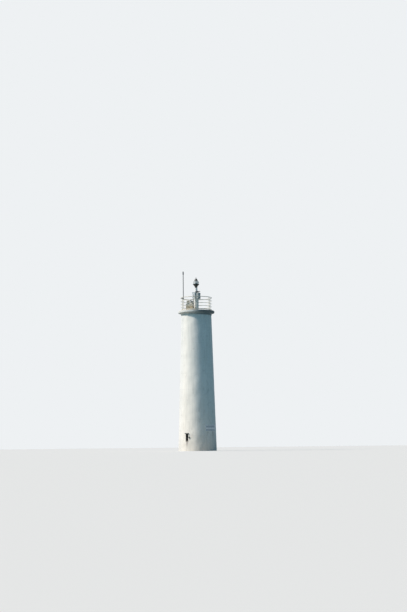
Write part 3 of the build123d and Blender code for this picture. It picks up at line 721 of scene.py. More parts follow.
@dataclass(frozen=True)
class MasonryPaint(Finish):
    """White masonry paint on concrete: streaked by rain, greyer at the foot, with a painted highlight and
    painted shade.
    """

    dirt: str = "A9ACA6"
    streaked: float = 0.35  # share of the surface
    streak_strength: float = 0.25
    foot: float = 0.0  # height where the foot's dirt is thickest
    foot_head: float = 2.2  # height where it has gone
    foot_strength: float = 0.16
    lee_shade_and_mould: float = 0.0  # painted shade with mould: how strongly the side away from the key light, towards +X, is darkened
    lee_shade_colour: str = "3E4A49"
    lee_shade_span: Span = (-0.40, 0.60)  # where that darkening begins and is full, along X
    painted_highlight: float = 0.0  # painted highlight: how strongly a band of bearings on the lit side is whitened
    highlight_span: tuple[float, float, float, float] = (203.0, 226.0, 254.0, 274.0)  # start, full, fading, end
    pour: float = 0.0  # height of one lift of concrete
    swell: float = 0.0  # depth of the wall's unevenness
    stains: tuple[Stain, ...] = ()

    def write(self, graph: Graph, inputs: Sockets) -> None:
        """Write the paint's colour, its dirt and stains, and its pores.

        Args:
            graph: The material's graph.
            inputs: The Principled shader's inputs.
        """
        grain = Effects.place(graph, Effect.GRAIN, Scale=55.0)
        fresh = linear(self.colour)
        warm = tuple(c * f for c, f in zip(fresh, (0.955, 0.95, 0.93, 1.0)))
        base = graph.blend(grain.outputs["Tone"], fresh, warm)
        # painted highlight: a band of bearings on the side the key light falls on is whitened
        if self.painted_highlight:
            base = graph.blend(self._painted_highlight_mask(graph), base, Tint.PAINTED_HIGHLIGHT.shade)
        base = self._dirtied(graph, base)
        # painted shade: the side away from the key light, towards +X, is darkened to the lee colour; on the
        # slab part of it is mould
        if self.lee_shade_and_mould:
            ragged = graph.noise(graph.stretched(1.0, 1.0), 5.0, 4.0)
            across = graph.plus(graph.axes()["X"], graph.times(ragged, 0.3))
            lee_shade_mask = graph.ramp(across, *self.lee_shade_span, 0.0, self.lee_shade_and_mould)
            base = graph.blend(lee_shade_mask, base, linear(self.lee_shade_colour))
        if self.pour:
            base = self._in_lifts(graph, base)
        for stain in self.stains:
            run = Effects.place(
                graph, Effect.RUN, X=stain.x, Y=stain.y, Top=stain.top, Length=stain.length, Width=stain.width
            )
            mask = graph.times(run.outputs["Mask"], stain.strength)
            base = graph.blend(mask, base, linear(stain.colour))
        graph.feed(inputs["Base Color"], base)
        graph.feed(inputs["Roughness"], graph.ramp(grain.outputs["Height"], 0.3, 0.7, 0.62, 0.82))
        under = None
        if self.swell:
            uneven = graph.noise(graph.stretched(1.0, 1.0), 1.25, 1.5, 0.45)
            under = graph.bump(uneven, 1.0, self.swell)
        pores = graph.times(grain.outputs["Height"], 0.5)
        graph.feed(inputs["Normal"], graph.bump(pores, 0.5, 0.004, under))

    def _painted_highlight_mask(self, graph: Graph) -> Socket:
        """Write the mask of the band of bearings that gets the painted highlight.

        Args:
            graph: The material's graph.

        Returns:
            The mask.
        """
        point = graph.axes()
        turned = [graph.times(point[axis], -1.0) for axis in ("Y", "X")]
        around = graph.plus(graph.math("ARCTAN2", *turned), pi)
        start, full, fading, end = (radians(angle) for angle in self.highlight_span)
        rising, falling = graph.ramp(around, start, full), graph.ramp(around, fading, end, 1.0, 0.0)
        return graph.times(graph.times(rising, falling), self.painted_highlight)

    def _dirtied(self, graph: Graph, base: Socket) -> Socket:
        """Write the streaks, the foot's dirt and the blotches.

        Args:
            graph: The material's graph.
            base: The paint's colour.

        Returns:
            The dirtied colour.
        """
        streaks = Effects.place(graph, Effect.STREAKS, Coverage=self.streaked)
        mask = graph.times(streaks.outputs["Mask"], self.streak_strength)
        base = graph.blend(mask, base, linear(self.dirt))
        foot = Effects.place(graph, Effect.FOOT_DIRT, Foot=self.foot, Head=self.foot_head)
        mask = graph.times(foot.outputs["Mask"], self.foot_strength)
        base = graph.blend(mask, base, Tint.FOOT_DIRT.shade)
        cloud = graph.noise(graph.stretched(1.0, 0.55), 3.4, 5.0, 0.6)
        return graph.blend(graph.ramp(cloud, 0.56, 0.70, 0.0, 0.20), base, Tint.BLOTCH.shade)

    def _in_lifts(self, graph: Graph, base: Socket) -> Socket:
        """Write the lines between the lifts of concrete, and each lift's own tone.

        Args:
            graph: The material's graph.
            base: The paint's colour.

        Returns:
            The colour with the lifts in it.
        """
        lifts = graph.math("DIVIDE", graph.axes()["Z"], self.pour)
        near = graph.math("ABSOLUTE", graph.minus(graph.math("FRACT", lifts), 0.5))
        line = graph.ramp(near, 0.490, 0.4990)
        cloud = graph.ramp(graph.noise(graph.stretched(1.4, 1.4), 2.0), 0.40, 0.70, 0.0, 0.35)
        base = graph.blend(graph.times(line, cloud), base, Tint.LIFT_LINE.shade)
        tone = graph.add("ShaderNodeTexWhiteNoise", {"W": graph.math("FLOOR", lifts)}, noise_dimensions="1D")
        shade = graph.times(tone.outputs["Value"], 0.06)
        return graph.blend(shade, base, linear(self.dirt))


@dataclass(frozen=True)
class Concrete(Finish):
    """Bare trowelled concrete, darker where water stands."""

    def write(self, graph: Graph, inputs: Sockets) -> None:
        """Write the concrete's tones, damp patches and pores.

        Args:
            graph: The material's graph.
            inputs: The Principled shader's inputs.
        """
        grain = Effects.place(graph, Effect.GRAIN, Scale=90.0)
        pale = linear(self.colour)
        base = graph.blend(grain.outputs["Tone"], pale, shaded(pale, 0.86))
        damp = graph.ramp(graph.noise(graph.point(), 1.7, 5.0, 0.6), 0.48, 0.66, 0.0, 0.8)
        graph.feed(inputs["Base Color"], graph.blend(damp, base, shaded(pale, 0.62)))
        graph.feed(inputs["Roughness"], graph.ramp(damp, 0.0, 1.0, 0.9, 0.66))
        graph.feed(inputs["Normal"], graph.bump(grain.outputs["Height"], 0.7, 0.003))


@dataclass(frozen=True)
class PaintedSteel(Finish):
    """Brush-painted steel out in salt air: orange peel, worn edges and blooms of rust."""

    wear: Wear = Wear.SPOTTED
    sheen: float = 0.15  # coat of gloss left on the paint
    bloom: float = 6.0  # blooms of rust to a metre
    grime: float = 0.22  # how strongly the rain's dirt shows

    def tinted(self, graph: Graph, base: Socket) -> Socket:
        """Change the paint's colour where a kind of paint has more than one.

        Args:
            graph: The material's graph; not used here.
            base: The paint's colour.

        Returns:
            The changed colour.
        """
        return base

    def write(self, graph: Graph, inputs: Sockets) -> None:
        """Write the paint, the dirt in it and the rust that breaks through.

        Args:
            graph: The material's graph.
            inputs: The Principled shader's inputs.
        """
        grain = Effects.place(graph, Effect.GRAIN, Scale=140.0)
        paint = linear(self.colour)
        faded = shaded(paint, 0.86, 0.015)
        base = self.tinted(graph, graph.blend(grain.outputs["Tone"], paint, faded))
        streaks = Effects.place(graph, Effect.STREAKS, Scale=7.0, Coverage=0.35)
        dirty = graph.times(streaks.outputs["Mask"], self.grime)
        base = graph.blend(dirty, base, Tint.GRIME.shade)
        rust = Effects.place(graph, Effect.RUST, Scale=self.bloom, Amount=self.wear.value)
        edges = Effects.place(graph, Effect.EDGES)
        worn = graph.times(edges.outputs["Mask"], min(1.0, 2.2 * self.wear.value))
        mask = graph.math("MAXIMUM", rust.outputs["Mask"], worn)
        old = graph.ramp(rust.outputs["Tone"], 0.35, 0.65)
        iron = graph.blend(old, Tint.FRESH_RUST.shade, Tint.OLD_RUST.shade)
        graph.feed(inputs["Base Color"], graph.blend(mask, base, iron))
        graph.feed(inputs["Roughness"], graph.ramp(mask, 0.0, 1.0, self.roughness, 0.92))
        inputs["Coat Weight"].default_value = self.sheen
        inputs["Coat Roughness"].default_value = 0.35
        scab = graph.times(mask, graph.plus(rust.outputs["Tone"], 0.4))
        height = graph.plus(graph.times(grain.outputs["Height"], 0.25), scab)
        graph.feed(inputs["Normal"], graph.bump(height, 0.4, 0.0012))


@dataclass(frozen=True)
class TwoTonePaint(PaintedSteel):
    """Painted steel that has another tone over a stretch, or on both sides of it."""

    second: str = "FFFFFF"  # colour of the other tone
    axis: str = "Z"
    stretch: Span = (0.0, 0.0)  # where it begins and ends along the axis
    beyond: bool = False  # whether the other tone lies on both sides of the stretch
    strength: float = 1.0

    def tinted(self, graph: Graph, base: Socket) -> Socket:
        """Give the stretch or what lies beyond it the other tone.

        Args:
            graph: The material's graph.
            base: The paint's colour.

        Returns:
            The changed colour.
        """
        along = graph.axes()[self.axis]
        after = graph.math("GREATER_THAN", along, self.stretch[0])
        mask = graph.times(after, graph.math("LESS_THAN", along, self.stretch[1]))
        mask = graph.minus(1.0, mask) if self.beyond else mask
        return graph.blend(graph.times(mask, self.strength), base, linear(self.second))


@dataclass(frozen=True)
class FootPatchPaint(PaintedSteel):
    """Painted steel with a dark patch at its foot, on one side, fading upwards."""

    patch_colour: str = "4A453A"
    patch_head: float = 0.0  # height of the patch's top
    patch_fade: float = 0.12  # height over which it fades out
    patch_span: Span = (0.0, 0.1)  # where it begins and is full, along X
    patch_strength: float = 0.8

    def tinted(self, graph: Graph, base: Socket) -> Socket:
        """Lay the patch over the paint, with a ragged edge.

        Args:
            graph: The material's graph.
            base: The paint's colour.

        Returns:
            The changed colour.
        """
        point = graph.axes()
        ragged = graph.times(graph.noise(graph.stretched(1.0, 0.6), 9.0, 5.0, 0.6), 0.08)
        depth = graph.minus(self.patch_head, graph.plus(point["Z"], ragged))
        low = graph.ramp(depth, 0.0, self.patch_fade)
        clear, full = self.patch_span
        way = 1.0 if full > clear else -1.0
        across = graph.times(graph.minus(point["X"], clear), way)
        beside = graph.ramp(across, 0.0, abs(full - clear), 0.0, self.patch_strength)
        return graph.blend(graph.times(low, beside), base, linear(self.patch_colour))


@dataclass(frozen=True)
class BareSteel(Finish):
    """Galvanised or stainless steel, dulled and spangled."""

    rusted: float = 0.12
    metallic: float = 0.75  # share of bare metal in its surface

    def write(self, graph: Graph, inputs: Sockets) -> None:
        """Write the metal's spangle, its dull patches and its tea stains.

        Args:
            graph: The material's graph.
            inputs: The Principled shader's inputs.
        """
        spangle = graph.add("ShaderNodeTexVoronoi", {"Vector": graph.point(), "Scale": 70.0}, feature="F1")
        metal = linear(self.colour)
        base = graph.blend(graph.ramp(spangle.outputs["Distance"], 0.1, 0.8), metal, shaded(metal, 0.7))
        rust = Effects.place(graph, Effect.RUST, Scale=9.0, Amount=self.rusted)
        graph.feed(inputs["Base Color"], graph.blend(rust.outputs["Mask"], base, Tint.TEA_STAIN.shade))
        graph.feed(inputs["Metallic"], graph.ramp(rust.outputs["Mask"], 0.0, 1.0, self.metallic, 0.0))
        cloud = graph.noise(graph.point(), 12.0, 4.0)
        graph.feed(inputs["Roughness"], graph.ramp(cloud, 0.3, 0.7, self.roughness, self.roughness + 0.22))
        grain = Effects.place(graph, Effect.GRAIN, Scale=220.0)
        graph.feed(inputs["Normal"], graph.bump(grain.outputs["Height"], 0.25, 0.0006))


@dataclass(frozen=True)
class ClearGlass(Finish):
    """Clear glass or moulded plastic with a film of salt."""

    salt: float = 0.18  # how strongly a film of salt roughens it
    through: float = 0.9  # share of the light that goes through

    def write(self, graph: Graph, inputs: Sockets) -> None:
        """Write the tint and the patches of salt.

        Args:
            graph: The material's graph.
            inputs: The Principled shader's inputs.
        """
        film = graph.noise(graph.stretched(1.0, 0.4), 16.0, 5.0, 0.6)
        patches = graph.ramp(film, 0.5, 0.75, 0.0, 0.5)
        graph.feed(inputs["Base Color"], graph.blend(patches, linear(self.colour), Tint.SALT.shade))
        dull = graph.ramp(film, 0.42, 0.7, self.roughness, self.roughness + self.salt)
        graph.feed(inputs["Roughness"], dull)
        inputs["Transmission Weight"].default_value = self.through
        inputs["IOR"].default_value = 1.49


@dataclass(frozen=True)
class DarkGlaze(Finish):
    """Dark glass over something dark: a solar panel's face, and a window's pane whose near-black is painted
    shade for the unlit room behind it.
    """

    gloss: float = 0.6  # weight of the clear coat

    def write(self, graph: Graph, inputs: Sockets) -> None:
        """Write the dark ground, the dust on it and the gloss.

        Args:
            graph: The material's graph.
            inputs: The Principled shader's inputs.
        """
        dust = graph.noise(graph.point(), 26.0, 5.0, 0.6)
        lying = graph.ramp(dust, 0.5, 0.8, 0.0, 0.35)
        graph.feed(inputs["Base Color"], graph.blend(lying, linear(self.colour), Tint.DUST.shade))
        graph.feed(inputs["Roughness"], graph.ramp(dust, 0.4, 0.75, self.roughness, self.roughness + 0.3))
        inputs["Coat Weight"].default_value = self.gloss
        inputs["Coat Roughness"].default_value = 0.12
        inputs["Specular IOR Level"].default_value = min(0.5, self.gloss)


@dataclass(frozen=True)
class Floor(Finish):
    """The studio floor, pale to the camera and dull to the light that it sends back."""

    bounce: str = "5E7E8A"  # colour that bouncing light meets
    near_bounce: str = "B4AB9E"  # the same, close to the tower's sunny side
    near: Span = (5.0, 11.0)  # distances from there at which it fades and has gone
    middle: Size = (-5.0, -1.5, 0.0)  # the sunny side's middle

    def write(self, graph: Graph, inputs: Sockets) -> None:
        """Write the two colours, parted by the kind of ray.

        Args:
            graph: The material's graph.
            inputs: The Principled shader's inputs.
        """
        given = {0: graph.point(), 1: self.middle}
        distance = graph.add("ShaderNodeVectorMath", given, operation="DISTANCE")
        away = graph.ramp(distance.outputs["Value"], *self.near)
        sent = graph.blend(away, linear(self.near_bounce), linear(self.bounce))
        graph.feed(inputs["Base Color"], graph.blend(graph.seen(), sent, linear(self.colour)))
        inputs["Specular IOR Level"].default_value = 0.0


def dress(finishes: dict[str, Finish]) -> None:
    """Give nodes of the frame their finishes.

    Args:
        finishes: The finish of each node, by the node's name.
    """
    for name, finish in finishes.items():
        for slot in bpy.data.objects[name].material_slots:
            slot.material = finish.material()
        LOG.info("%s: %s", name, finish.name)


# Sub-assemblies


@dataclass
class Shaft:
    """The tapered concrete tube, its notice plate and the fitting beside the window."""

    foot_radius: float = 1.5
    head_radius: float = 1.182
    foot_wall: float = 0.250
    head_wall: float = 0.200
    pour: float = 1.2  # height of one lift of concrete
    groove: float = 0.0020  # depth of the joint between two lifts
    groove_height: float = 0.010
    facets: int = 216  # flats round the whole tube
    door_bearing: float = 90.0
    door_width: float = 0.800
    door_foot: float = 0.150
    window_bearing: float = -123.6
    window_width: float = 0.240
    plate_span: Span = (-64.5, -21.8)  # first and last bearing
    plate_rise: Span = (1.515, 2.015)  # foot and head
    plate_thickness: float = 0.005
    plate_gap: float = 0.006
    batten_foot: float = 0.035  # width of the lowest batten
    batten_middle: Span = (0.160, 0.120)  # height over the plate's foot, and width
    batten_head: float = 0.065  # width of the top batten
    batten_side: float = 0.045  # width of the battens at the two ends
    batten_depth: float = 0.006
    fitting_bearing: float = -115.6
    fitting_height: float = 1.06
    fitting_size: Size = (0.060, 0.085, 0.130)  # depth, width and height
    height: float = field(init=False)
    door_head: float = field(init=False)
    window_rise: Span = field(init=False)  # foot and head

    def __post_init__(self) -> None:
        """Read the heights from the frame."""
        self.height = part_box("wall_front")[1].z
        self.door_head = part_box("wall_beside_door")[1].z
        low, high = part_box("window_frame")
        self.window_rise = (low.z, high.z)

    def outer(self, z: float) -> float:
        """Return the outer radius at a height."""
        return self.foot_radius + (self.head_radius - self.foot_radius) * z / self.height

    def inner(self, z: float) -> float:
        """Return the inner radius at a height."""
        return self.outer(z) - self.foot_wall - (self.head_wall - self.foot_wall) * z / self.height

    def plate_back(self, z: float) -> float:
        """Return the radius of the notice plate's back at a height."""
        return self.outer(z) + self.plate_gap

    def plate_face(self, z: float) -> float:
        """Return the radius of the notice plate's face at a height."""
        return self.plate_back(z) + self.plate_thickness

    def _stretches(self, radius: float) -> list[Span]:
        """Give the four stretches of a circle between the two openings' sides.

        Args:
            radius: Radius of the circle.

        Returns:
            First and last bearing of the doorway, the left wall, the window and the right wall.
        """
        door = degrees(asin(self.door_width / 2 / radius))
        window = degrees(asin(self.window_width / 2 / radius))
        slit = self.window_bearing + 360
        edges = [self.door_bearing - door, self.door_bearing + door, slit - window, slit + window]
        return list(zip(edges, [*edges[1:], edges[0] + 360]))

    def _flats(self) -> list[int]:
        """Give the number of flats in each stretch."""
        widths = [end - start for start, end in self._stretches(self.foot_radius)]
        return [max(4, round(self.facets * width / 360)) for width in widths]

    def _columns(self, radius: float) -> list[float]:
        """Give the bearing of every upright line of the skin on a circle.

        Args:
            radius: Radius of the circle.

        Returns:
            The bearings, once round from the doorway's right side.
        """
        bearings: list[float] = []
        for (start, end), steps in zip(self._stretches(radius), self._flats()):
            bearings += [start + (end - start) * k / steps for k in range(steps)]
        return bearings

    def _rows(self) -> list[Span]:
        """Give the rows of the skin.

        Returns:
            The height of each row and how deep it lies in a joint.
        """
        marks = {0.0, self.height, self.door_foot, self.door_head, *self.window_rise}
        rows = {z: 0.0 for z in marks}
        half = self.groove_height / 2
        for k in range(1, ceil(self.height / self.pour)):
            z = k * self.pour
            rows.update({z - half: 0.0, z: self.groove, z + half: 0.0})
            rows[z + self.pour / 3] = 0.0
            rows[z + self.pour * 2 / 3] = 0.0
        return sorted((z, depth) for z, depth in rows.items() if z <= self.height)

    def _open(self, stretch: int, z: float) -> bool:
        """Tell whether a stretch of the skin is open at a height.

        Args:
            stretch: Which of the four stretches.
            z: The height.

        Returns:
            Whether the doorway or the window is there.
        """
        if stretch == 0:
            return z < self.door_head
        return stretch == 2 and self.window_rise[0] < z < self.window_rise[1]

    def build_skin(self, paint: MasonryPaint) -> None:
        """Build the wall as one skin, with its reveals and its lift joints.

        Args:
            paint: The paint on it.
        """
        draft = Draft()
        stretches = [i for i, steps in enumerate(self._flats()) for _ in range(steps)]
        count = len(stretches)
        rows = self._rows()
        outside, inside = [], []
        for z, depth in rows:
            for skin, radius, sunk in ((outside, self.outer(z), depth), (inside, self.inner(z), 0.0)):
                ring = [bearing(angle, radius - sunk, z).translation for angle in self._columns(radius)]
                skin.append(draft.points(ring, UPRIGHT))
        middles = [(low[0] + high[0]) / 2 for low, high in zip(rows, rows[1:])]
        shut = [[not self._open(stretches[k], z) for k in range(count)] for z in middles]
        face = draft.face
        for j in range(len(middles)):
            for k in range(count):
                n = (k + 1) % count
                if not shut[j][k]:
                    continue
                face((outside[j][k], outside[j][n], outside[j + 1][n], outside[j + 1][k]))
                face((inside[j][n], inside[j][k], inside[j + 1][k], inside[j + 1][n]))
                if not shut[j][k - 1]:
                    face((inside[j][k], outside[j][k], outside[j + 1][k], inside[j + 1][k]))
                if not shut[j][n]:
                    face((outside[j][n], inside[j][n], inside[j + 1][n], outside[j + 1][n]))
                if j == 0 or not shut[j - 1][k]:
                    face((inside[j][k], inside[j][n], outside[j][n], outside[j][k]))
                if j == len(middles) - 1 or not shut[j + 1][k]:
                    face((outside[j + 1][k], outside[j + 1][n], inside[j + 1][n], inside[j + 1][k]))
        names = ("right", "back_right", "back_left", "left", "front_left", "front", "front_right")
        walls = [f"wall_{name}" for name in names] + ["wall_over_door", "wall_beside_door"]
        for vertex in [v for v in draft.mesh.verts if not v.link_faces]:
            draft.mesh.verts.remove(vertex)
        draft.piece("shaft_skin", paint, walls, crease=12.0)

    def build_notice_plate(self, sheet: PaintedSteel, rim: PaintedSteel, bolts: BareSteel) -> None:
        """Build the bare plate that is rolled to the wall, with its battens and bolts.

        Args:
            sheet: Finish of the plate.
            rim: Finish of its battens.
            bolts: Finish of its bolts.
        """
        draft = Draft()
        draft.curved_sheet(self.plate_back, self.plate_span, self.plate_rise, self.plate_thickness)
        draft.piece("notice_plate", sheet)
        (first, last), (low, high) = self.plate_span, self.plate_rise
        lift, middle = self.batten_middle
        battens = ((low, self.batten_foot), (low + lift, middle), (high - self.batten_head, self.batten_head))
        draft = Draft()
        for foot, width in battens:
            draft.curved_sheet(self.plate_face, self.plate_span, (foot, foot + width), self.batten_depth)
        side = degrees(self.batten_side / self.outer(low))
        between, shallow = (low + self.batten_foot, high - self.batten_head), self.batten_depth - 0.0005
        for start in (first, last - side):
            draft.curved_sheet(self.plate_face, (start, start + side), between, shallow, (4, 2))
        draft.piece("notice_battens", rim)
        draft = Draft()
        for z in (foot + width / 2 for foot, width in battens):
            for k in range(5):
                angle = first + side / 2 + (last - first - side) * k / 4
                draft.bolt(bearing(angle, self.plate_face(z) + self.batten_depth, z) @ FACING_OUT, 0.020)
        draft.piece("notice_bolts", bolts)

    def build_fitting(self, paint: PaintedSteel) -> None:
        """Build the small box on the wall beside the window, with its lid and the hub under it.

        Args:
            paint: Its paint.
        """
        z = self.fitting_height
        depth, width, height = self.fitting_size
        seat = self.outer(z) + depth / 2 - 0.004
        lid = (0.010, width - 0.009, height - 0.010)
        draft = Draft()
        draft.block(self.fitting_size, bearing(self.fitting_bearing, seat, z), 0.006)
        draft.block(lid, bearing(self.fitting_bearing, seat + depth / 2 + 0.003, z), 0.003)
        draft.pin(bearing(self.fitting_bearing, seat, z - height / 2 - 0.012), 0.011, 0.014)
        draft.piece("wall_fitting", paint)


@dataclass
class SlitWindow:
    """The slit window's sash, pane and hood, with the sill under it."""

    tower: Shaft
    sill_height: float = 0.030  # at the sash
    sill_nose: float = 0.010  # height of its outer edge
    sill_reach: float = 0.030
    sash_depth: float = 0.026  # from the sash's middle to the sill

    def build_sill(self, finish: Concrete) -> None:
        """Build the sloping sill in the foot of the opening.

        Args:
            finish: Finish of the sill.
        """
        foot = self.tower.window_rise[0]
        nose = self.tower.outer(foot) + self.sill_reach
        low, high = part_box("window_frame")
        back = Vector(((low.x + high.x) / 2, (low.y + high.y) / 2, 0)).length + self.sash_depth
        half = self.tower.window_width / 2 - 0.002
        section = [
            (back, foot + 0.001), (nose, foot + 0.001), (nose, foot + self.sill_nose),
            (back, foot + self.sill_height),
        ]
        draft = Draft()
        place = bearing(self.tower.window_bearing)
        left, right = [draft.points([(r, side * half, z) for r, z in section], place) for side in BOTH]
        draft.face(left)
        draft.face(right[::-1])
        for k in range(4):
            n = (k + 1) % 4
            draft.face((left[k], right[k], right[n], left[n]))
        draft.piece("window_sill", finish)

    def dress(self, frame: Finish, pane: Finish, hood: Finish) -> None:
        """Give the window's own nodes their finishes."""
        dress({"window_frame": frame, "window_glass": pane, "window_hood": hood})


@dataclass
class Doorway:
    """The steel door at the back: its louvred vent, its lock and its frame's bolts."""

    slats: int = 7
    slat_slope: float = -38.0  # in degrees
    vent_width: float = 0.34
    vent_pitch: float = 0.034  # from slat to slat
    vent_foot: float = 0.24  # height over the leaf's foot
    vent_edge: float = 0.022  # width of the frame round the vent
    lock_height: float = 0.86  # over the leaf's foot

    def build_vent(self, paint: PaintedSteel) -> None:
        """Build the louvred vent in the leaf's lower panel.

        Args:
            paint: Its paint.
        """
        low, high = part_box("door_leaf")
        panel = high.y - 0.010
        foot = low.z + self.vent_foot
        height = self.slats * self.vent_pitch
        lean = Matrix.Rotation(radians(self.slat_slope), 4, "X")
        draft = Draft()
        for k in range(self.slats):
            place = shift(0, panel + 0.007, foot + (k + 0.5) * self.vent_pitch) @ lean
            draft.block((self.vent_width, 0.003, self.vent_pitch), place, 0.0008)
        edge = self.vent_edge
        y, z = panel + 0.006, foot + height / 2
        for side in BOTH:
            upright = shift(side * (self.vent_width + edge) / 2, y, z)
            draft.block((edge, 0.014, height + 2 * edge), upright, 0.003)
            level = shift(0, y, z + side * (height + edge) / 2)
            draft.block((self.vent_width, 0.014, edge), level, 0.003)
        draft.piece("door_vent", paint)

    def build_fixings(self, metal: BareSteel) -> None:
        """Build the lock and the frame's bolts.

        Args:
            metal: Finish of the fixings.
        """
        low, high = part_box("door_leaf")
        frame_low, frame_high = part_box("door_frame")
        lock = [(0, -0.006), (0.022, -0.006), (0.022, 0.004), (0.016, 0.010), (0, 0.010)]
        draft = Draft()
        place = shift(low.x + 0.075, high.y + 0.006, low.z + self.lock_height) @ FACING_BACK
        draft.turned(lock, place, 24)
        for k in range(5):
            z = frame_low.z + 0.15 + (frame_high.z - frame_low.z - 0.30) * k / 4
            for x in (frame_low.x + 0.022, frame_high.x - 0.022):
                draft.bolt(shift(x, frame_high.y, z) @ FACING_BACK, 0.018)
        draft.piece("door_fixings", metal)

    def dress(self, paint: Finish, metal: Finish, sill: Finish) -> None:
        """Give the door's own nodes their finishes."""
        dress({"door_frame": paint, "door_leaf": paint, "door_hardware": metal, "ground_floor": sill})


@dataclass
class Gallery:
    """The slab, the cove under it and the hatch behind the column."""

    hinge_spread: float = 0.18  # from the hatch's middle
    hinge_lift: float = 0.009  # over the curb

    def build_hatch_fittings(self, metal: BareSteel) -> None:
        """Build the hatch's hinges and its hasp.

        Args:
            metal: Finish of the fittings.
        """
        low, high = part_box("hatch_cover")
        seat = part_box("hatch_curb")[1].z + self.hinge_lift
        draft = Draft()
        for x in (-self.hinge_spread, self.hinge_spread):
            draft.pin(shift(x, high.y + 0.006, seat) @ FACING_OUT, 0.010, 0.05)
            draft.block((0.080, 0.12, 0.005), shift(x, high.y - 0.058, seat + 0.003), 0.001)
            for y in (0.03, 0.09):
                draft.bolt(shift(x, high.y - y, seat + 0.0055), 0.014)
        draft.block((0.05, 0.006, 0.09), shift(0, low.y - 0.003, seat - 0.045), 0.001)
        centre = Vector((0, low.y - 0.014, seat - 0.065))
        ring = [centre + Vector((0.020 * c, 0, 0.026 * s)) for c, s in circle(20)]
        draft.tube(ring, 0.004, 8, closed=True)
        draft.piece("hatch_fittings", metal)

    def dress(self, slab: Finish, cove: Finish, curb: Finish, cover: Finish) -> None:
        """Give the gallery's own nodes their finishes."""
        dress({"gallery_slab": slab, "cornice": cove, "hatch_curb": curb, "hatch_cover": cover})


@dataclass
class Railing:
    """The railing's fixings: foot bolts, handrail sleeves and the clips of its rails."""

    radius: float = 1.215
    posts: tuple[float, ...] = tuple(-34.0 + 60 * k for k in range(6))  # bearings
    foot_circle: float = 0.052  # radius of a foot's ring of bolts
    foot_plate: float = 0.014  # thickness
    tube: float = 0.024  # radius of the handrail
    rails: tuple[float, ...] = (0.345, 0.580, 0.815)  # heights over the deck

    def build_bolts(self, metal: BareSteel) -> None:
        """Build four bolts at each post's foot.

        Args:
            metal: Finish of the bolts.
        """
        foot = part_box("railing_posts")[0].z + self.foot_plate
        draft = Draft()
        for post in self.posts:
            for k in range(4):
                seat = bearing(post, self.radius, foot) @ bearing(45 + 90 * k, self.foot_circle)
                draft.bolt(seat, 0.018)
        draft.piece("railing_bolts", metal)

    def build_sleeves(self, paint: PaintedSteel) -> None:
        """Build the sleeves that join the handrail's lengths and the clips that hold the rails.

        Args:
            paint: Their paint.
        """
        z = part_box("railing_bay_front_left")[1].z - self.tube
        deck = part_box("gallery_slab")[1].z
        cup = [(0, -0.02), (0.029, -0.02), (0.032, -0.008), (0.032, 0.006), (0, 0.014)]
        draft = Draft()
        for post in self.posts:
            arc = [bearing(post + 1.3 * k, self.radius, z).translation for k in range(-2, 3)]
            draft.tube(arc, self.tube - 0.0002, 24)
            draft.turned(cup, bearing(post, self.radius, z - self.tube - 0.012), 24)
            for height in self.rails:
                for side in BOTH:
                    clip = bearing(post + side * 1.75, self.radius, deck + height)
                    draft.block((0.016, 0.022, 0.034), clip, 0.003)
        draft.piece("railing_sleeves", paint)

    def dress(self, paint: Finish) -> None:
        """Give the railing's own nodes their paint."""
        bays = ("right", "back_right", "back_left", "left", "front_left", "front_right")
        dress({"railing_posts": paint} | {f"railing_bay_{bay}": paint for bay in bays})


@dataclass
class Mast:
    """The lightning mast's clamp bolts."""

    bearing: float = 206.0
    radius: float = 1.168  # distance of the clamps' bolts from the tower's axis
    clamps: Span = (0.965, 1.005)  # heights over the deck
    clamp_half: float = 0.024
    clamp_bolt: float = 0.018  # width across its corners

    def build_bolts(self, metal: BareSteel) -> None:
        """Build the bolts through the two clamps.

        Args:
            metal: Finish of the bolts.
        """
        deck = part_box("gallery_slab")[1].z
        draft = Draft()
        for height in self.clamps:
            clamp = bearing(self.bearing, self.radius, deck + height)
            for side, facing in zip(BOTH, (FACING_FRONT, FACING_BACK)):
                draft.bolt(clamp @ shift(0, side * self.clamp_half, 0) @ facing, self.clamp_bolt)
        draft.piece("clamp_bolts", metal)

    def dress(self, metal: Finish) -> None:
        """Give the mast and its clamps their finish."""
        dress({"lightning_mast": metal, "mast_clamps": metal})


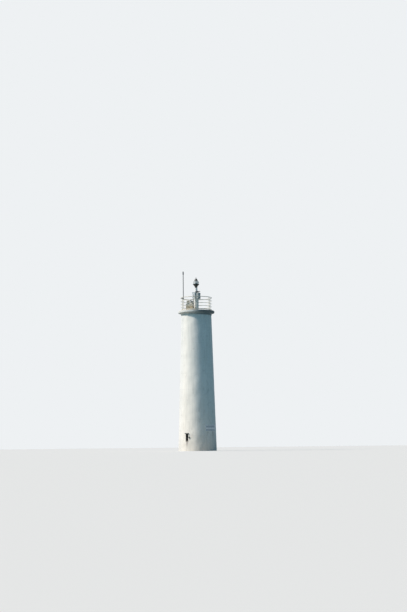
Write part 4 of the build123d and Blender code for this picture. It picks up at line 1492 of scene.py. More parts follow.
@dataclass
class Column:
    """The lantern's column: anchor bolts, weld beads and the bolts of its head plate."""

    radius: float = 0.190
    stem: float = 0.108  # radius of the lantern's stem
    anchors: int = 8  # number of anchor bolts
    anchor_circle: float = 0.252
    head_circle: float = 0.195
    stem_circle: float = 0.135
    base_plate: float = 0.020  # thickness
    stem_plate: float = 0.0166  # thickness

    def build_bolts(self, metal: BareSteel) -> None:
        """Build the anchor bolts and the bolts of the head plate and the stem.

        Args:
            metal: Finish of the bolts.
        """
        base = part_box("column_base")[0].z + self.base_plate
        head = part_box("column_head_plate")[1].z
        pitch = 360 / self.anchors
        draft = Draft()
        for k in range(self.anchors):
            draft.bolt(bearing(pitch * k, self.anchor_circle, base), 0.030)
            draft.bolt(bearing(pitch * (k + 0.5), self.head_circle, head), 0.022)
            draft.bolt(bearing(pitch * k, self.stem_circle, head + self.stem_plate), 0.016)
        draft.piece("column_bolts", metal)

    def build_bands(self, paint: PaintedSteel) -> None:
        """Build the weld beads of the column and the stem, and the rim at the stem's head.

        Args:
            paint: Their paint.
        """
        low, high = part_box("lantern_column")
        draft = Draft()
        for z in (low.z + 0.012 + 0.14, high.z - 0.012):
            bead = [(0, -0.006), (0.004, 0), (0, 0.006), (-0.004, 0)]
            draft.turned([(self.radius + r, z + up) for r, up in bead], sides=64, loop=True)
        low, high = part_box("lantern_stem")
        bead = [(0, -0.001), (0.009, 0), (0, 0.010), (-0.004, 0)]
        rim = [(0, -0.009), (0.012, -0.002), (0.012, 0.009), (-0.004, 0.009)]
        for z, ring in ((low.z + self.stem_plate, bead), (high.z - 0.010, rim)):
            draft.turned([(self.stem + r, z + up) for r, up in ring], sides=48, loop=True)
        draft.piece("column_welds", paint)

    def dress(self, paint: Finish, rust: Finish, plate: Finish) -> None:
        """Give the column's own nodes their finishes."""
        columns = {"lantern_column": paint, "lantern_stem": paint}
        dress(columns | {"column_base": rust, "column_head_plate": plate})


@dataclass
class Lantern:
    """The lantern: a flared body, a drum lens with its lamp inside and a spiked cap."""

    rings: int = 7  # prism rings above and below the belt
    belt: float = 0.30  # share of the drum's height
    lens_wall: float = 0.007  # thickness between prisms
    prism_depth: float = 0.0065
    cap_radius: float = 0.150
    shoulder: float = 0.060  # height of the lens's sloping shoulder
    post: float = 0.046  # radius of the lamp's post
    fins: int = 7
    emitters: int = 12  # number in a ring
    body_foot: float = 0.090  # radius
    body_waist: Span = (0.130, 0.190)  # radius and height of a point on the flare
    rim_height: float = 0.034
    ribs: int = 12
    rim_bolts: int = 8
    collar_height: float = 0.056
    collar_wall: float = 0.005
    foot: float = field(init=False)  # height of the body's foot
    rise: float = field(init=False)  # height of its flare
    rim: float = field(init=False)  # radius of its rim

    def __post_init__(self) -> None:
        """Read the body's sizes from the frame."""
        low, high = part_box("lantern_body")
        self.foot, self.rise, self.rim = low.z, high.z - low.z - self.rim_height, high.x

    def _outside(self, low: float, high: float, radius: float) -> list[Span]:
        """Give the lens's outside from foot to shoulder.

        Args:
            low: Height of the foot.
            high: Height of the drum's head.
            radius: Greatest radius.

        Returns:
            Radius and height pairs with a convex belt and prisms either side of it.
        """
        middle = (low + high) / 2
        belt = (high - low) * self.belt
        root, tip = radius - self.prism_depth, radius - 0.0005
        pitch = (high - low - belt) / 2 / self.rings
        outline = [(root, low)]
        for k in range(self.rings):
            z = low + k * pitch
            outline += [(root, z + 0.15 * pitch), (tip, z + 0.86 * pitch)]
        for k in range(9):
            share = k / 8 * 2 - 1
            outline.append((radius - self.prism_depth * share * share * 0.8, middle + belt / 2 * share))
        for k in range(self.rings):
            z = middle + belt / 2 + k * pitch
            outline += [(tip, z + 0.14 * pitch), (root, z + 0.85 * pitch)]
        return outline

    @staticmethod
    def _shoulder(inner: float, outer: float, foot: float, height: float) -> list[Span]:
        """Give one skin of the lens's shoulder, a quarter of an ellipse.

        Args:
            inner: Radius at its head.
            outer: Radius at its foot.
            foot: Height of its foot.
            height: Height of the shoulder.

        Returns:
            Radius and height pairs from the foot up.
        """
        turns = [pi / 2 * k / 6 for k in range(7)]
        return [(inner + (outer - inner) * cos(a), foot + height * sin(a)) for a in turns]

    def build_lens(self, glass: ClearGlass) -> None:
        """Build the moulded lens as a thin shell with its prisms outside.

        Args:
            glass: What it is moulded from.
        """
        low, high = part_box("lantern_lens")
        head = high.z - self.shoulder
        outer = high.x - self.prism_depth
        inner = outer - self.lens_wall
        seat = self.cap_radius - 0.012
        outline = self._outside(low.z, head, high.x)
        outline += self._shoulder(self.cap_radius, outer, head, self.shoulder)[1:]
        outline.append((seat, high.z))
        outline += self._shoulder(seat, inner, head, self.shoulder - 0.008)[-2::-1]
        outline.append((inner, low.z))
        draft = Draft()
        draft.turned(outline, sides=72, loop=True)
        draft.piece("lens_drum", glass, ["lantern_lens"], crease=20.0)

    def build_lamp(self, housing: Finish, light: Finish) -> None:
        """Build the lamp: a finned post with rings of small emitters.

        Args:
            housing: Finish of the post.
            light: Finish of the emitters.
        """
        low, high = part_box("lantern_lamp")
        fin, post, core = high.x, self.post, 0.030
        foot = low.z + 0.050
        pitch = (high.z - low.z - 0.060) / self.fins
        outline = [(0, low.z), (core, low.z), (core, foot - 0.002)]
        for z in (foot + k * pitch for k in range(self.fins)):
            outline += [(fin, z), (fin, z + 0.35 * pitch), (post, z + 0.45 * pitch), (post, z + 0.95 * pitch)]
        outline += [(post, high.z - 0.006), (core, high.z), (0, high.z)]
        draft = Draft()
        draft.turned(outline, sides=40)
        draft.piece("lamp_post", housing, ["lantern_lamp"])
        draft = Draft()
        step = 360 / self.emitters
        for k in range(self.fins - 1):
            for n in range(self.emitters):
                place = bearing(step * (n + k % 2 / 2), post + 0.003, foot + (k + 0.70) * pitch)
                draft.block((0.006, 0.012, 0.008), place, 0.0015)
        draft.piece("lamp_emitters", light)

    def build_body_fittings(self, metal: BareSteel, enamel: PaintedSteel) -> None:
        """Build the rim's bolts, the ribs under the rim and the cap's beads.

        Args:
            metal: Finish of the bolts.
            enamel: Finish of the ribs and beads.
        """
        draft = Draft()
        top = self.foot + self.rise + self.rim_height
        for k in range(self.rim_bolts):
            angle = 360 / self.rim_bolts * (k + 0.5)
            draft.bolt(bearing(angle, self.rim - 0.014, top + 0.0005), 0.012)
        draft.piece("lantern_bolts", metal)
        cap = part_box("lantern_cap")[0].z
        bead = [(-0.002, -0.003), (-0.0002, 0), (-0.002, 0.003), (-0.006, 0)]
        draft = Draft()
        for z in (cap + 0.004, cap + 0.019):
            draft.turned([(self.cap_radius + r, z + up) for r, up in bead], sides=64, loop=True)
        shares = [s / 10 for s in range(1, 10)]
        for k in range(self.ribs):
            rib = bearing(360 / self.ribs * (k + 0.5))
            path = [(rib @ shift(self._flare(s), 0, self.foot + self.rise * s)).translation for s in shares]
            draft.tube(path, 0.005, 8)
        draft.piece("lantern_ribs", enamel)

    def build_collar(self, paint: Finish) -> None:
        """Build the collar that clamps the body's foot to the stem.

        Args:
            paint: The collar's paint.
        """
        shares = [self.collar_height / self.rise * k / 6 for k in range(7)]
        outside = [(self._flare(s) + self.collar_wall, self.foot + s * self.rise) for s in shares]
        inside = [(self._flare(s) - 0.002, self.foot + s * self.rise) for s in shares[::-1]]
        draft = Draft()
        draft.turned(outside + inside, sides=48, loop=True)
        draft.piece("lantern_collar", paint)

    def _flare(self, share: float) -> float:
        """Give the body's radius at a share of the height of its flare.

        Args:
            share: Nought at the foot, one at the rim.

        Returns:
            The radius, on the arc through the foot, the waist and the rim.
        """
        a, b, c = Vector((self.body_foot, 0)), Vector(self.body_waist), Vector((self.rim, self.rise))
        d = 2 * (a.x * (b.y - c.y) + b.x * (c.y - a.y) + c.x * (a.y - b.y))
        squares = [p.length_squared for p in (a, b, c)]
        x = (squares[0] * (b.y - c.y) + squares[1] * (c.y - a.y) + squares[2] * (a.y - b.y)) / d
        y = (squares[0] * (c.x - b.x) + squares[1] * (a.x - c.x) + squares[2] * (b.x - a.x)) / d
        radius = (a - Vector((x, y))).length
        return x - sqrt(max(0.0, radius * radius - (share * self.rise - y) ** 2))

    def dress(self, enamel: Finish) -> None:
        """Give the lantern's own nodes their enamel."""
        dress({"lantern_body": enamel, "lantern_cap": enamel})


@dataclass
class ColumnEquipment:
    """The cabinet, the drum and the solar panel that the column carries."""

    cabinet_bearing: float = 240.0
    cabinet_plan: Span = (0.190, 0.260)  # depth and width
    cabinet_back: float = 0.215  # distance from the column's axis
    cabinet_door: float = 0.012  # thickness
    drum_bearing: float = -62.0
    drum_radius: float = 0.165
    drum_centre: float = 0.377  # distance from the column's axis
    drum_louvres: tuple[int, int] = (5, 14)  # rows, and louvres in a row
    panel_bearing: float = -60.0
    panel_size: Size = (0.280, 0.300, 0.034)  # depth, width and thickness
    panel_centre: float = 0.260  # distance from the column's axis
    panel_rim: float = 0.022  # both edges together
    panel_cells: tuple[int, int] = (5, 6)

    def build_cabinet_fittings(self, metal: BareSteel, paint: PaintedSteel, tag: PaintedSteel) -> None:
        """Build the cabinet's hinges, lock, rain hood and glands, and the bare plate on its door.

        Args:
            metal: Finish of the hinges and the lock.
            paint: Paint of the hood.
            tag: Paint of the plate.
        """
        low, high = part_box("control_cabinet")
        depth, width = self.cabinet_plan
        middle = self.cabinet_back + depth / 2
        front = self.cabinet_back + depth + self.cabinet_door
        cylinder = [(0, 0), (0.014, 0), (0.014, 0.008), (0.009, 0.012), (0, 0.012)]
        gland = [(0, -0.018), (0.010, -0.018), (0.014, -0.006), (0.014, 0.013), (0, 0.013)]
        draft = Draft()
        for z in (low.z + 0.10, high.z - 0.10):
            hinge = bearing(self.cabinet_bearing, front - 0.003, z) @ shift(0, width / 2 - 0.026, 0)
            draft.pin(hinge, 0.007, 0.03, 14)
        lock = bearing(self.cabinet_bearing, front, (low.z + high.z) / 2) @ shift(0, 0.045 - width / 2, 0)
        draft.turned(cylinder, lock @ FACING_OUT, 20)
        for side in BOTH:
            seat = bearing(self.cabinet_bearing, middle, low.z - 0.012) @ shift(0, side * 0.06, 0)
            draft.turned(gland, seat, 14)
        draft.piece("cabinet_fittings", metal)
        draft = Draft()
        roof = bearing(self.cabinet_bearing, middle, high.z + 0.006) @ Matrix.Rotation(radians(4), 4, "Y")
        draft.block((depth + 0.050, width + 0.036, 0.008), roof, 0.002)
        draft.piece("cabinet_hood", paint)
        draft = Draft()
        draft.block((0.003, 0.08, 0.035), bearing(self.cabinet_bearing, front + 0.001, low.z + 0.20), 0.001)
        draft.piece("cabinet_plate", tag)

    def build_drum_bands(self, paint: PaintedSteel) -> None:
        """Build the drum's clamping bands and the louvres in its side.

        Args:
            paint: Their paint.
        """
        low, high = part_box("signal_drum")
        axis = bearing(self.drum_bearing, self.drum_centre)
        r = self.drum_radius
        rows, count = self.drum_louvres
        slope = Matrix.Rotation(radians(30), 4, "Y")
        draft = Draft()
        for z in (low.z + 0.075, low.z + 0.255, high.z - 0.085):
            draft.band(axis, z, (r - 0.003, r + 0.004), (0.014, 0.012), 64)
        for z in (low.z + 0.11 + 0.022 * k for k in range(rows)):
            for n in range(count):
                slat = axis @ bearing(360 / count * n, r + 0.002, z) @ slope
                draft.block((0.003, 0.046, 0.013), slat, 0.0008)
        draft.piece("drum_bands", paint)

    def build_panel_face(self, glaze: Finish, metal: BareSteel) -> None:
        """Build the panel's cells and the wires between them.

        Args:
            glaze: Finish of the cells.
            metal: Finish of the wires.
        """
        depth, width, thickness = self.panel_size
        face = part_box("solar_panel")[1].z - thickness * 0.15 + 0.001
        depth, width = depth - self.panel_rim, width - self.panel_rim
        along, across = depth / self.panel_cells[0], width / self.panel_cells[1]
        cells, wires = Draft(), Draft()
        for i in range(self.panel_cells[0]):
            x = self.panel_centre + (i + 0.5) * along - depth / 2
            for j in range(self.panel_cells[1]):
                place = bearing(self.panel_bearing) @ shift(x, (j + 0.5) * across - width / 2, face)
                cells.block((along - 0.003, across - 0.003, 0.0016), place, 0.0004)
                for side in BOTH:
                    wires.block((along, 0.0012, 0.0006), place @ shift(0, side * across / 4, 0.0011))
        cells.piece("panel_cells", glaze)
        wires.piece("panel_wires", metal)

    def dress(self, cabinet: Finish, drum: Finish, panel: Finish) -> None:
        """Give the column's equipment its finishes."""
        dress({"control_cabinet": cabinet, "signal_drum": drum, "solar_panel": panel})


@dataclass(frozen=True)
class SwitchBox:
    """A box on the service board."""

    name: str
    x: float  # of its middle, across the board
    z: float  # of its middle, over the deck
    width: float
    height: float


@dataclass
class DeckEquipment:
    """The battery chest, the board, the vent pipe and the cable risers on the deck."""

    chest_place: Span = (-0.525, -0.310)
    chest_turn: float = -8.0
    chest_size: Size = (0.520, 0.340, 0.500)  # width, depth and height
    chest_foot: float = 0.050  # over the deck
    lid_lap: float = 0.016  # how far the lid stands out over the chest
    board_place: Span = (-0.640, 0.120)
    board_turn: float = -8.0
    board_size: Span = (0.244, 0.300)  # width and height
    board_foot: float = 0.600  # height of its lower edge over the deck
    board_sheet: float = 0.004  # thickness
    board_fold: float = 0.020  # depth of its folded edges
    boxes: tuple[SwitchBox, ...] = (
        SwitchBox("board_switch", -0.050, 0.800, 0.100, 0.120),
        SwitchBox("board_box", 0.078, 0.715, 0.076, 0.160),
    )
    leg_spread: float = 0.072  # from the board's middle
    leg_back: float = 0.022  # from the board to the legs' middle
    pipe_place: Span = (-0.470, 0.390)
    pipe_radius: float = 0.045
    pipe_bands: Span = (0.28, 0.72)  # heights over its foot plate
    riser_bearing: float = 180.0
    risers: Span = (0.232, 0.400)  # distances from the column's axis
    riser_radius: float = 0.022
    riser_clips: tuple[float, ...] = (0.29, 0.54, 0.78)  # heights over the deck
    riser_head: float = 0.960  # of the outer one, over the deck
    column: float = 0.189  # where the inner riser meets the column

    def _chest(self, x: float, y: float, z: float) -> Matrix:
        """Give a place on the chest, from its centre line and the deck."""
        return standing("battery_box", self.chest_place, self.chest_turn) @ shift(x, y, z)

    def _board(self, x: float, y: float, z: float) -> Matrix:
        """Give a place on the board, from the middle of its foot and the deck."""
        return standing("service_board", self.board_place, self.board_turn) @ shift(x, y, z)

    def build_chest_fittings(self, metal: BareSteel, paint: PaintedSteel) -> None:
        """Build the chest's catches, handles, louvres and corner angles.

        Args:
            metal: Finish of the catches and handles.
            paint: Paint of the louvres and angles.
        """
        width, depth, height = self.chest_size
        front, head = -depth / 2, self.chest_foot + height
        draft = Draft()
        for x in (-0.16, 0.16):
            draft.block((0.030, 0.008, 0.070), self._chest(x, front - 0.020, head - 0.075), 0.002)
            draft.pin(self._chest(x, front - 0.027, head - 0.060) @ FACING_OUT, 0.005, 0.02, 12)
        for side in BOTH:
            half_turn = [(width / 2 + 0.034 * sin(pi * k / 12), 0.055 * cos(pi * k / 12)) for k in range(13)]
            grip = [self._chest(side * x, y, 0.36).translation for x, y in half_turn]
            draft.tube(grip, 0.006, 10)
        draft.piece("chest_catches", metal)
        slope = Matrix.Rotation(radians(32), 4, "X")
        draft = Draft()
        for k in range(6):
            slat = self._chest(0, front - 0.003, 0.115 + 0.024 * k) @ slope
            draft.block((0.24, 0.003, 0.020), slat, 0.0008)
        for side in BOTH:
            for end in BOTH:
                x, y = side * (width / 2 - 0.006), end * (depth / 2 - 0.006)
                corner = self._chest(x, y, self.chest_foot + height / 2)
                draft.block((0.020, 0.020, height - 0.03), corner, 0.008)
        draft.piece("chest_louvres", paint)

    def build_lid(self, paint: PaintedSteel) -> None:
        """Build the chest's lid, with a deep skirt and a hipped top.

        Args:
            paint: Its paint.
        """
        width, depth = self.chest_size[:2]
        corner = Matrix.Rotation(pi / 4, 4, "Z")
        reach = [(self.lid_lap + side / 2) / cos(pi / 4) for side in (width, depth)]
        outline = [(0, 0.470), (1, 0.470), (1, 0.518), (0.985, 0.524), (0.82, 0.584), (0, 0.592)]
        draft = Draft()
        draft.turned(outline, self._chest(0, 0, 0) @ Matrix.Diagonal((*reach, 1.0, 1.0)) @ corner, 4)
        draft.piece("chest_lid", paint, ["battery_lid"])

    def build_board(self, paint: PaintedSteel, metal: BareSteel) -> None:
        """Build the board, folded at its rim, on its two legs with their foot plates and bolts.

        Args:
            paint: Paint of the board and legs.
            metal: Finish of the bolts.
        """
        (width, height), sheet, fold = self.board_size, self.board_sheet, self.board_fold
        middle = self.board_foot + height / 2
        leg = self.board_foot + height - 0.04
        draft = Draft()
        draft.block((width, sheet, height), self._board(0, 0, middle), 0.001)
        for side in BOTH:
            upright = self._board(side * (width - sheet) / 2, 0.008, middle)
            draft.block((sheet, fold, height), upright, 0.001)
            level = self._board(0, 0.008, middle + side * (height - sheet) / 2)
            draft.block((width, fold, sheet), level, 0.001)
            x = side * self.leg_spread
            draft.block((0.040, 0.040, leg), self._board(x, self.leg_back, leg / 2), 0.004)
            draft.block((0.110, 0.110, 0.010), self._board(x, self.leg_back, 0.005), 0.002)
        draft.piece("board_sheet", paint, ["service_board"])
        draft = Draft()
        for side in BOTH:
            x = side * self.leg_spread
            for end in BOTH:
                for rear in BOTH:
                    draft.bolt(self._board(x + 0.038 * end, self.leg_back + 0.038 * rear, 0.010), 0.016)
                draft.bolt(self._board(x, -sheet / 2, middle + 0.11 * end) @ FACING_FRONT, 0.014)
        draft.piece("board_bolts", metal)

    def build_board_boxes(self, paint: PaintedSteel, dark: PaintedSteel, metal: BareSteel) -> None:
        """Build the boxes on the board and the conduits below them.

        Args:
            paint: Paint of the upper box.
            dark: Paint of the lower box, darker as painted shade.
            metal: Finish of the conduits.
        """
        for box, finish in zip(self.boxes, (paint, dark)):
            draft = Draft()
            draft.block((box.width, 0.060, box.height), self._board(box.x, -0.033, box.z), 0.007)
            door = (box.width - 0.014, 0.008, box.height - 0.014)
            draft.block(door, self._board(box.x, -0.065, box.z), 0.003)
            draft.piece(box.name, finish)
        draft = Draft()
        for box in self.boxes:
            foot = box.z - box.height / 2
            levels = (foot + 0.004, self.board_foot - 0.010)
            draft.tube([self._board(box.x, -0.030, z).translation for z in levels], 0.009, 12)
            nut = [(0, -0.012), (0.014, -0.012), (0.014, 0.004), (0, 0.004)]
            draft.turned(nut, self._board(box.x, -0.030, foot), 6)
        draft.piece("board_conduits", metal)

    def build_pipe_bands(self, metal: BareSteel) -> None:
        """Build the vent pipe's foot bolts and its bands.

        Args:
            metal: Finish of them all.
        """
        r = self.pipe_radius
        place = shift(*self.pipe_place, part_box("stand_pipe")[0].z + 0.014)
        draft = Draft()
        for k in range(4):
            draft.bolt(place @ bearing(90 * k + 45, r + 0.020), 0.014)
        for z in self.pipe_bands:
            draft.band(place, z, (r - 0.001, r + 0.003), (0.012, 0.011), 32)
        draft.piece("pipe_bands", metal)

    def build_riser_fittings(self, metal: BareSteel) -> None:
        """Build the risers' clips and foot glands, the outer one's cap and the inner one's wall gland.

        Args:
            metal: Finish of them all.
        """
        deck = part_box("column_base")[0].z
        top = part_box("cable_conduit")[1].z
        r = self.riser_radius
        foot = [(0, -0.018), (0.031, -0.018), (0.031, -0.002), (0.026, 0.012), (0, 0.012)]
        cap = [(0, -0.030), (r + 0.004, -0.030), (r + 0.004, 0.004), (r - 0.004, 0.012), (0, 0.014)]
        gland = [(0, 0), (0.036, 0), (0.036, 0.008), (0.030, 0.014), (0, 0.014)]
        draft = Draft()
        for distance in self.risers:
            axis = bearing(self.riser_bearing, distance, deck)
            for z in self.riser_clips:
                draft.band(axis, z, (r - 0.001, r + 0.003), (0.010, 0.009), 28)
                for side in BOTH:
                    ear = axis @ shift(side * (r + 0.011), -0.0055, z)
                    draft.block((0.024, 0.003, 0.018), ear, 0.001)
                    draft.bolt(ear @ shift(0.002 * side, -0.0015, 0) @ FACING_FRONT, 0.009)
            draft.turned(foot, axis @ shift(0, 0, 0.060), 6)
        draft.turned(cap, bearing(self.riser_bearing, self.risers[1], deck + self.riser_head), 28)
        draft.turned(gland, bearing(self.riser_bearing, self.column, top - r - 0.005) @ FACING_OUT, 28)
        draft.piece("riser_fittings", metal)

    def dress(self, chest: Finish, pipe: Finish, riser: Finish) -> None:
        """Give the deck's equipment its finishes."""
        dress({"battery_box": chest, "stand_pipe": pipe, "cable_conduit": riser})


# Studio


@dataclass
class Studio:
    """A pale floor, a soft key light from the left and the camera of the photograph."""

    distance: float = 98.4  # from the camera to the tower's axis
    offset: float = 0.574  # of the camera, to the right of that axis
    eye: float = 0.32  # height of the camera
    focal: float = 1250.0  # in pixels of the photograph
    frame: tuple[int, int] = (407, 612)  # the photograph's width and height in pixels
    foot_row: float = 450.9  # row of the tower's foot, with the picture's turn undone
    roll: float = -0.6  # the picture's turn, in degrees
    sun_bearing: float = 190.0  # where the key light comes from
    sun_height: float = 44.0  # in degrees
    sun_power: float = 3.91
    sun_spread: float = 9.0  # in degrees
    sun_colour: Size = (1.0, 0.900, 0.835)
    sky_power: float = 1.0  # strength of the fill light
    sky_lean: float = -0.42  # what it gains towards +X
    sky_colour: Colour = (0.125, 0.245, 0.34, 1.0)
    backdrop: str = "EEF1F3"  # colour of what is seen behind the tower
    floor_radius: float = 600.0

    def build_camera(self) -> None:
        """Place the camera at the photograph's angle."""
        data = bpy.data.cameras.new("camera")
        data.sensor_width = 36.0
        data.lens = self.focal / self.frame[1] * data.sensor_width
        data.clip_end = 2 * self.floor_radius
        camera = bpy.data.objects.new("camera", data)
        bpy.context.scene.collection.objects.link(camera)
        below = (self.foot_row - self.frame[1] / 2) / self.focal
        pitch = atan(below) - atan(self.eye / self.distance)
        turn = Matrix.Rotation(pi / 2 + pitch, 4, "X") @ Matrix.Rotation(radians(self.roll), 4, "Z")
        camera.matrix_world = Matrix.Translation((self.offset, -self.distance, self.eye)) @ turn
        bpy.context.scene.camera = camera

    def build_light(self) -> None:
        """Place the key light and the fill."""
        data = bpy.data.lights.new("key", "SUN")
        data.energy = self.sun_power
        data.angle = radians(self.sun_spread)
        data.color = self.sun_colour
        key = bpy.data.objects.new("key", data)
        bpy.context.scene.collection.objects.link(key)
        up, around = radians(self.sun_height), radians(self.sun_bearing)
        towards = Vector((cos(up) * cos(around), cos(up) * sin(around), sin(up)))
        key.matrix_world = towards.to_track_quat("Z", "Y").to_matrix().to_4x4()
        world = bpy.data.worlds.new("studio")
        world.use_nodes = True
        world.node_tree.nodes.clear()
        graph = Graph(world.node_tree)
        way = graph.add("ShaderNodeSeparateXYZ", {0: graph.add("ShaderNodeTexCoord").outputs["Generated"]})
        lean = graph.times(way.outputs["X"], self.sky_lean)
        power = graph.plus(lean, self.sky_power)
        fill = graph.add("ShaderNodeBackground", {"Color": self.sky_colour, "Strength": power})
        plain = graph.add("ShaderNodeBackground", {"Color": linear(self.backdrop)})
        shaders = {0: graph.seen(), 1: fill.outputs[0], 2: plain.outputs[0]}
        mixed = graph.add("ShaderNodeMixShader", shaders)
        graph.add("ShaderNodeOutputWorld", {"Surface": mixed.outputs[0]})
        bpy.context.scene.world = world

    def build_floor(self, finish: Floor) -> None:
        """Lay the floor.

        Args:
            finish: Finish of the floor.
        """
        mesh = bmesh.new()
        bmesh.ops.create_circle(mesh, cap_ends=True, radius=self.floor_radius, segments=64)
        data = bpy.data.meshes.new("floor")
        mesh.to_mesh(data)
        mesh.free()
        data.materials.append(finish.material())
        floor = bpy.data.objects.new("floor", data)
        bpy.context.scene.collection.objects.link(floor)


# Finishes of this tower


def shaft_paint(tower: Shaft) -> MasonryPaint:
    """Give the shaft's paint, with the runs below its window, its fitting, its plate and its door.

    Args:
        tower: The shaft.

    Returns:
        The paint.
    """
    plate_foot = tower.plate_rise[0]
    runs = (
        (tower.window_bearing, tower.window_rise[0], 0.60, 0.15, "6F6666", 0.9),
        (tower.fitting_bearing, tower.fitting_height - 0.05, 0.35, 0.05, "6E6A62", 0.6),
        (-34.0, plate_foot, 0.9, 0.16, "6C625A", 0.5),
        (-57.0, plate_foot, 0.6, 0.12, "74706A", 0.4),
        (tower.door_bearing - 7.0, tower.door_foot + 0.02, 0.2, 0.3, "5B4A3C", 0.5),
    )
    stains = []
    for angle, top, length, width, colour, strength in runs:
        start = bearing(angle, tower.outer(top - length / 3)).translation
        stains.append(Stain(start.x, start.y, top, length, width, colour, strength))
    # painted highlight on a band of the wall's sunny side
    return MasonryPaint(
        "white masonry paint", "wall_paint", "F1F2EE", 0.7, streaked=0.36, foot_head=2.0,
        pour=tower.pour, swell=0.06, painted_highlight=0.9, stains=tuple(stains),
    )


def slab_paint(railing: Railing) -> MasonryPaint:
    """Give the slab's paint, with rust under the railing's posts and painted shade with mould towards +X.

    Args:
        railing: The railing on the slab.

    Returns:
        The paint.
    """
    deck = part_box("gallery_slab")[1].z
    stains = []
    for post in railing.posts:
        edge, foot = (bearing(post, radius).translation for radius in (1.43, 1.26))
        stains.append(Stain(edge.x, edge.y, deck, 0.15, 0.09, "6A4A36", 0.55))
        stains.append(Stain(foot.x, foot.y, deck + 0.02, 0.2, 0.16, "7A5A42", 0.5))
    # painted shade and mould: the slab darkens towards +X, the side away from the key light
    return MasonryPaint(
        "white slab paint", "slab_paint", "EBEBE5", 0.7, streaked=0.5, foot=deck - 0.2, foot_head=deck - 0.05,
        lee_shade_and_mould=0.82, lee_shade_colour="2E4148", lee_shade_span=(-0.40, 0.75), stains=tuple(stains),
    )


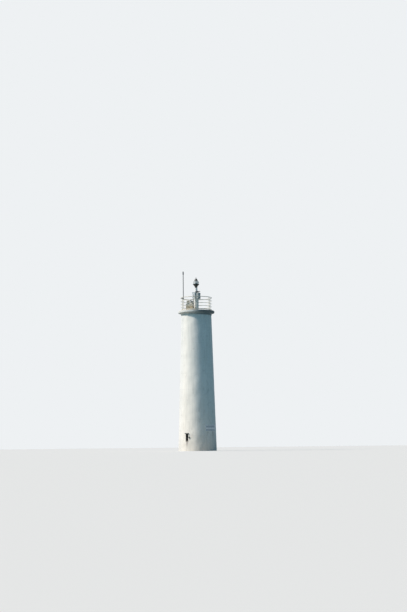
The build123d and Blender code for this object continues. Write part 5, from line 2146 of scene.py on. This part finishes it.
def main() -> None:
    """Build the lighthouse's looks in order."""
    logging.basicConfig(level=logging.INFO, format="%(name)s %(message)s")
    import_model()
    tower = Shaft()
    railing = Railing()
    wall = shaft_paint(tower)
    slab = slab_paint(railing)
    # painted light and shade: the cove's warm pale paint stands for light bounced up from below, and its
    # blue-grey darkening towards +X is painted shade
    cove = MasonryPaint(
        "cove paint", "slab_paint", "F0E8DA", 0.7, streaked=0.4, foot=10.0, foot_head=10.4,
        lee_shade_and_mould=0.8, lee_shade_colour="3A5660", lee_shade_span=(-1.0, 1.0),
    )
    bare = Concrete("bare concrete", "bare_concrete", "A5A29A", 0.85)
    door_paint = PaintedSteel("door paint", "door_paint", "D6D9D6", 0.42, wear=Wear.TIRED, bloom=4.0)
    cover_paint = PaintedSteel("hatch paint", "cover_paint", "A9ACA8", 0.5, wear=Wear.TIRED)
    window_paint = PaintedSteel(
        "window paint", "window_paint", "0F1315", 0.6, wear=Wear.SOUND, sheen=0.0, grime=0.05
    )
    deck_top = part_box("gallery_slab")[1].z
    rail_paint = TwoTonePaint(
        "railing paint", "rail_paint", "F3ECDA", 0.45, wear=Wear.SPOTTED, bloom=5.0, grime=0.08,
        second="CAC4B3", stretch=(deck_top + 0.125, deck_top + 1.030), beyond=True, strength=0.8,
    )
    mast_steel = PaintedSteel("mast steel", "mast_steel", "3C474C", 0.6, wear=Wear.SPOTTED, sheen=0.0)
    column_paint = FootPatchPaint(
        "column paint", "column_paint", "F6F5F0", 0.42, wear=Wear.SOUND, bloom=3.2, grime=0.06,
        patch_head=deck_top + 0.36, patch_span=(0.0, -0.07),
    )
    cabinet_paint = PaintedSteel("cabinet paint", "column_paint", "FAFAF7", 0.38, wear=Wear.SOUND, grime=0.05)
    rusted = PaintedSteel(
        "rusted steel", "rusted_steel", "443D32", 0.8, wear=Wear.EATEN, sheen=0.0, bloom=9.0
    )
    plate = PaintedSteel("plate paint", "plate_steel", "8A8D8B", 0.55, wear=Wear.TIRED)
    drum_paint = PaintedSteel("drum paint", "drum_paint", "AEB6B5", 0.6, wear=Wear.SOUND, sheen=0.05)
    chest_paint = FootPatchPaint(
        "chest paint", "box_paint", "DFCBAA", 0.5, wear=Wear.SPOTTED, grime=0.12,
        patch_colour="6B6450", patch_head=deck_top + 0.28, patch_span=(-0.52, -0.34), patch_strength=0.7,
    )
    lid_paint = PaintedSteel("lid paint", "box_paint", "EFE6D2", 0.45, wear=Wear.SOUND, grime=0.08)
    board_paint = PaintedSteel("board paint", "board_paint", "CBC9BA", 0.55, wear=Wear.SPOTTED, grime=0.12)
    # painted shade: the lower box on the board is painted darker to stand for shade beside the vent pipe
    shade_dark_box = PaintedSteel("dark box paint", "board_paint", "9C9785", 0.55, wear=Wear.SPOTTED)
    panel_frame = PaintedSteel("panel frame paint", "solar_cells", "2C353A", 0.45, wear=Wear.SOUND)
    pipe_paint = PaintedSteel("pipe paint", "pipe_paint", "F8F8F5", 0.4, wear=Wear.SOUND, grime=0.05)
    riser_paint = TwoTonePaint(
        "riser steel", "conduit_steel", "4A504C", 0.55, wear=Wear.SPOTTED, sheen=0.0,
        second="8E938E", axis="X", stretch=(-0.378, -0.254),
    )
    enamel = PaintedSteel(
        "lantern enamel", "lantern_paint", "061D1C", 0.45, wear=Wear.SOUND, sheen=0.0, grime=0.04
    )
    plate_sheet = PaintedSteel("notice sheet", "column_paint", "BBC5CD", 0.5, wear=Wear.SPOTTED, bloom=2.2)
    plate_rim = PaintedSteel("notice rim", "column_paint", "FCFDFF", 0.45, wear=Wear.SOUND, grime=0.03)
    tag_paint = PaintedSteel("cabinet plate", "column_paint", "E6C4BC", 0.5, wear=Wear.SOUND)
    fitting = PaintedSteel("fitting paint", "board_paint", "5E6260", 0.5, wear=Wear.SPOTTED)
    fixings = BareSteel("fixing steel", "door_metal", "A6A8A6", 0.38, rusted=0.3)
    # painted shade: the window's pane is opaque and near-black for the unlit room behind the glass
    pane = DarkGlaze("window pane", "window_pane", "060808", 0.12, gloss=0.1)
    cells = DarkGlaze("solar cells", "solar_cells", "141C2B", 0.2)
    panel_edge = BareSteel("panel frame", "solar_cells", "AEB2B3", 0.35, rusted=0.05)
    lens = ClearGlass("lens plastic", "lens_clear", "F8FCFB", 0.05, through=0.55)
    housing = DarkGlaze("lamp housing", "lamp_housing", "1B211F", 0.35)
    emitters = DarkGlaze("lamp emitters", "lamp_housing", "E7E3C6", 0.2)

    tower.build_skin(wall)
    tower.build_notice_plate(plate_sheet, plate_rim, fixings)
    tower.build_fitting(fitting)
    window = SlitWindow(tower)
    window.build_sill(bare)
    window.dress(window_paint, pane, window_paint)
    door = Doorway()
    door.build_vent(door_paint)
    door.build_fixings(fixings)
    door.dress(door_paint, fixings, bare)
    gallery = Gallery()
    gallery.build_hatch_fittings(fixings)
    gallery.dress(slab, cove, bare, cover_paint)
    railing.build_bolts(fixings)
    railing.build_sleeves(rail_paint)
    railing.dress(rail_paint)
    mast = Mast()
    mast.build_bolts(fixings)
    mast.dress(mast_steel)
    column = Column()
    column.build_bolts(fixings)
    column.build_bands(column_paint)
    column.dress(column_paint, rusted, plate)
    lantern = Lantern()
    lantern.build_lens(lens)
    lantern.build_lamp(housing, emitters)
    lantern.build_body_fittings(fixings, enamel)
    lantern.build_collar(cabinet_paint)
    lantern.dress(enamel)
    carried = ColumnEquipment()
    carried.build_cabinet_fittings(fixings, cabinet_paint, tag_paint)
    carried.build_drum_bands(drum_paint)
    carried.build_panel_face(cells, panel_edge)
    carried.dress(cabinet_paint, drum_paint, panel_frame)
    deck = DeckEquipment()
    deck.build_chest_fittings(fixings, chest_paint)
    deck.build_lid(lid_paint)
    deck.build_board(board_paint, fixings)
    deck.build_board_boxes(board_paint, shade_dark_box, fixings)
    deck.build_pipe_bands(fixings)
    deck.build_riser_fittings(fixings)
    deck.dress(chest_paint, pipe_paint, riser_paint)

    studio = Studio()
    studio.build_floor(Floor("studio floor", "", "E6E4E0", 0.9))
    studio.build_light()
    studio.build_camera()
    bpy.context.scene.view_settings.view_transform = "Standard"


if __name__ == "__main__":
    main()
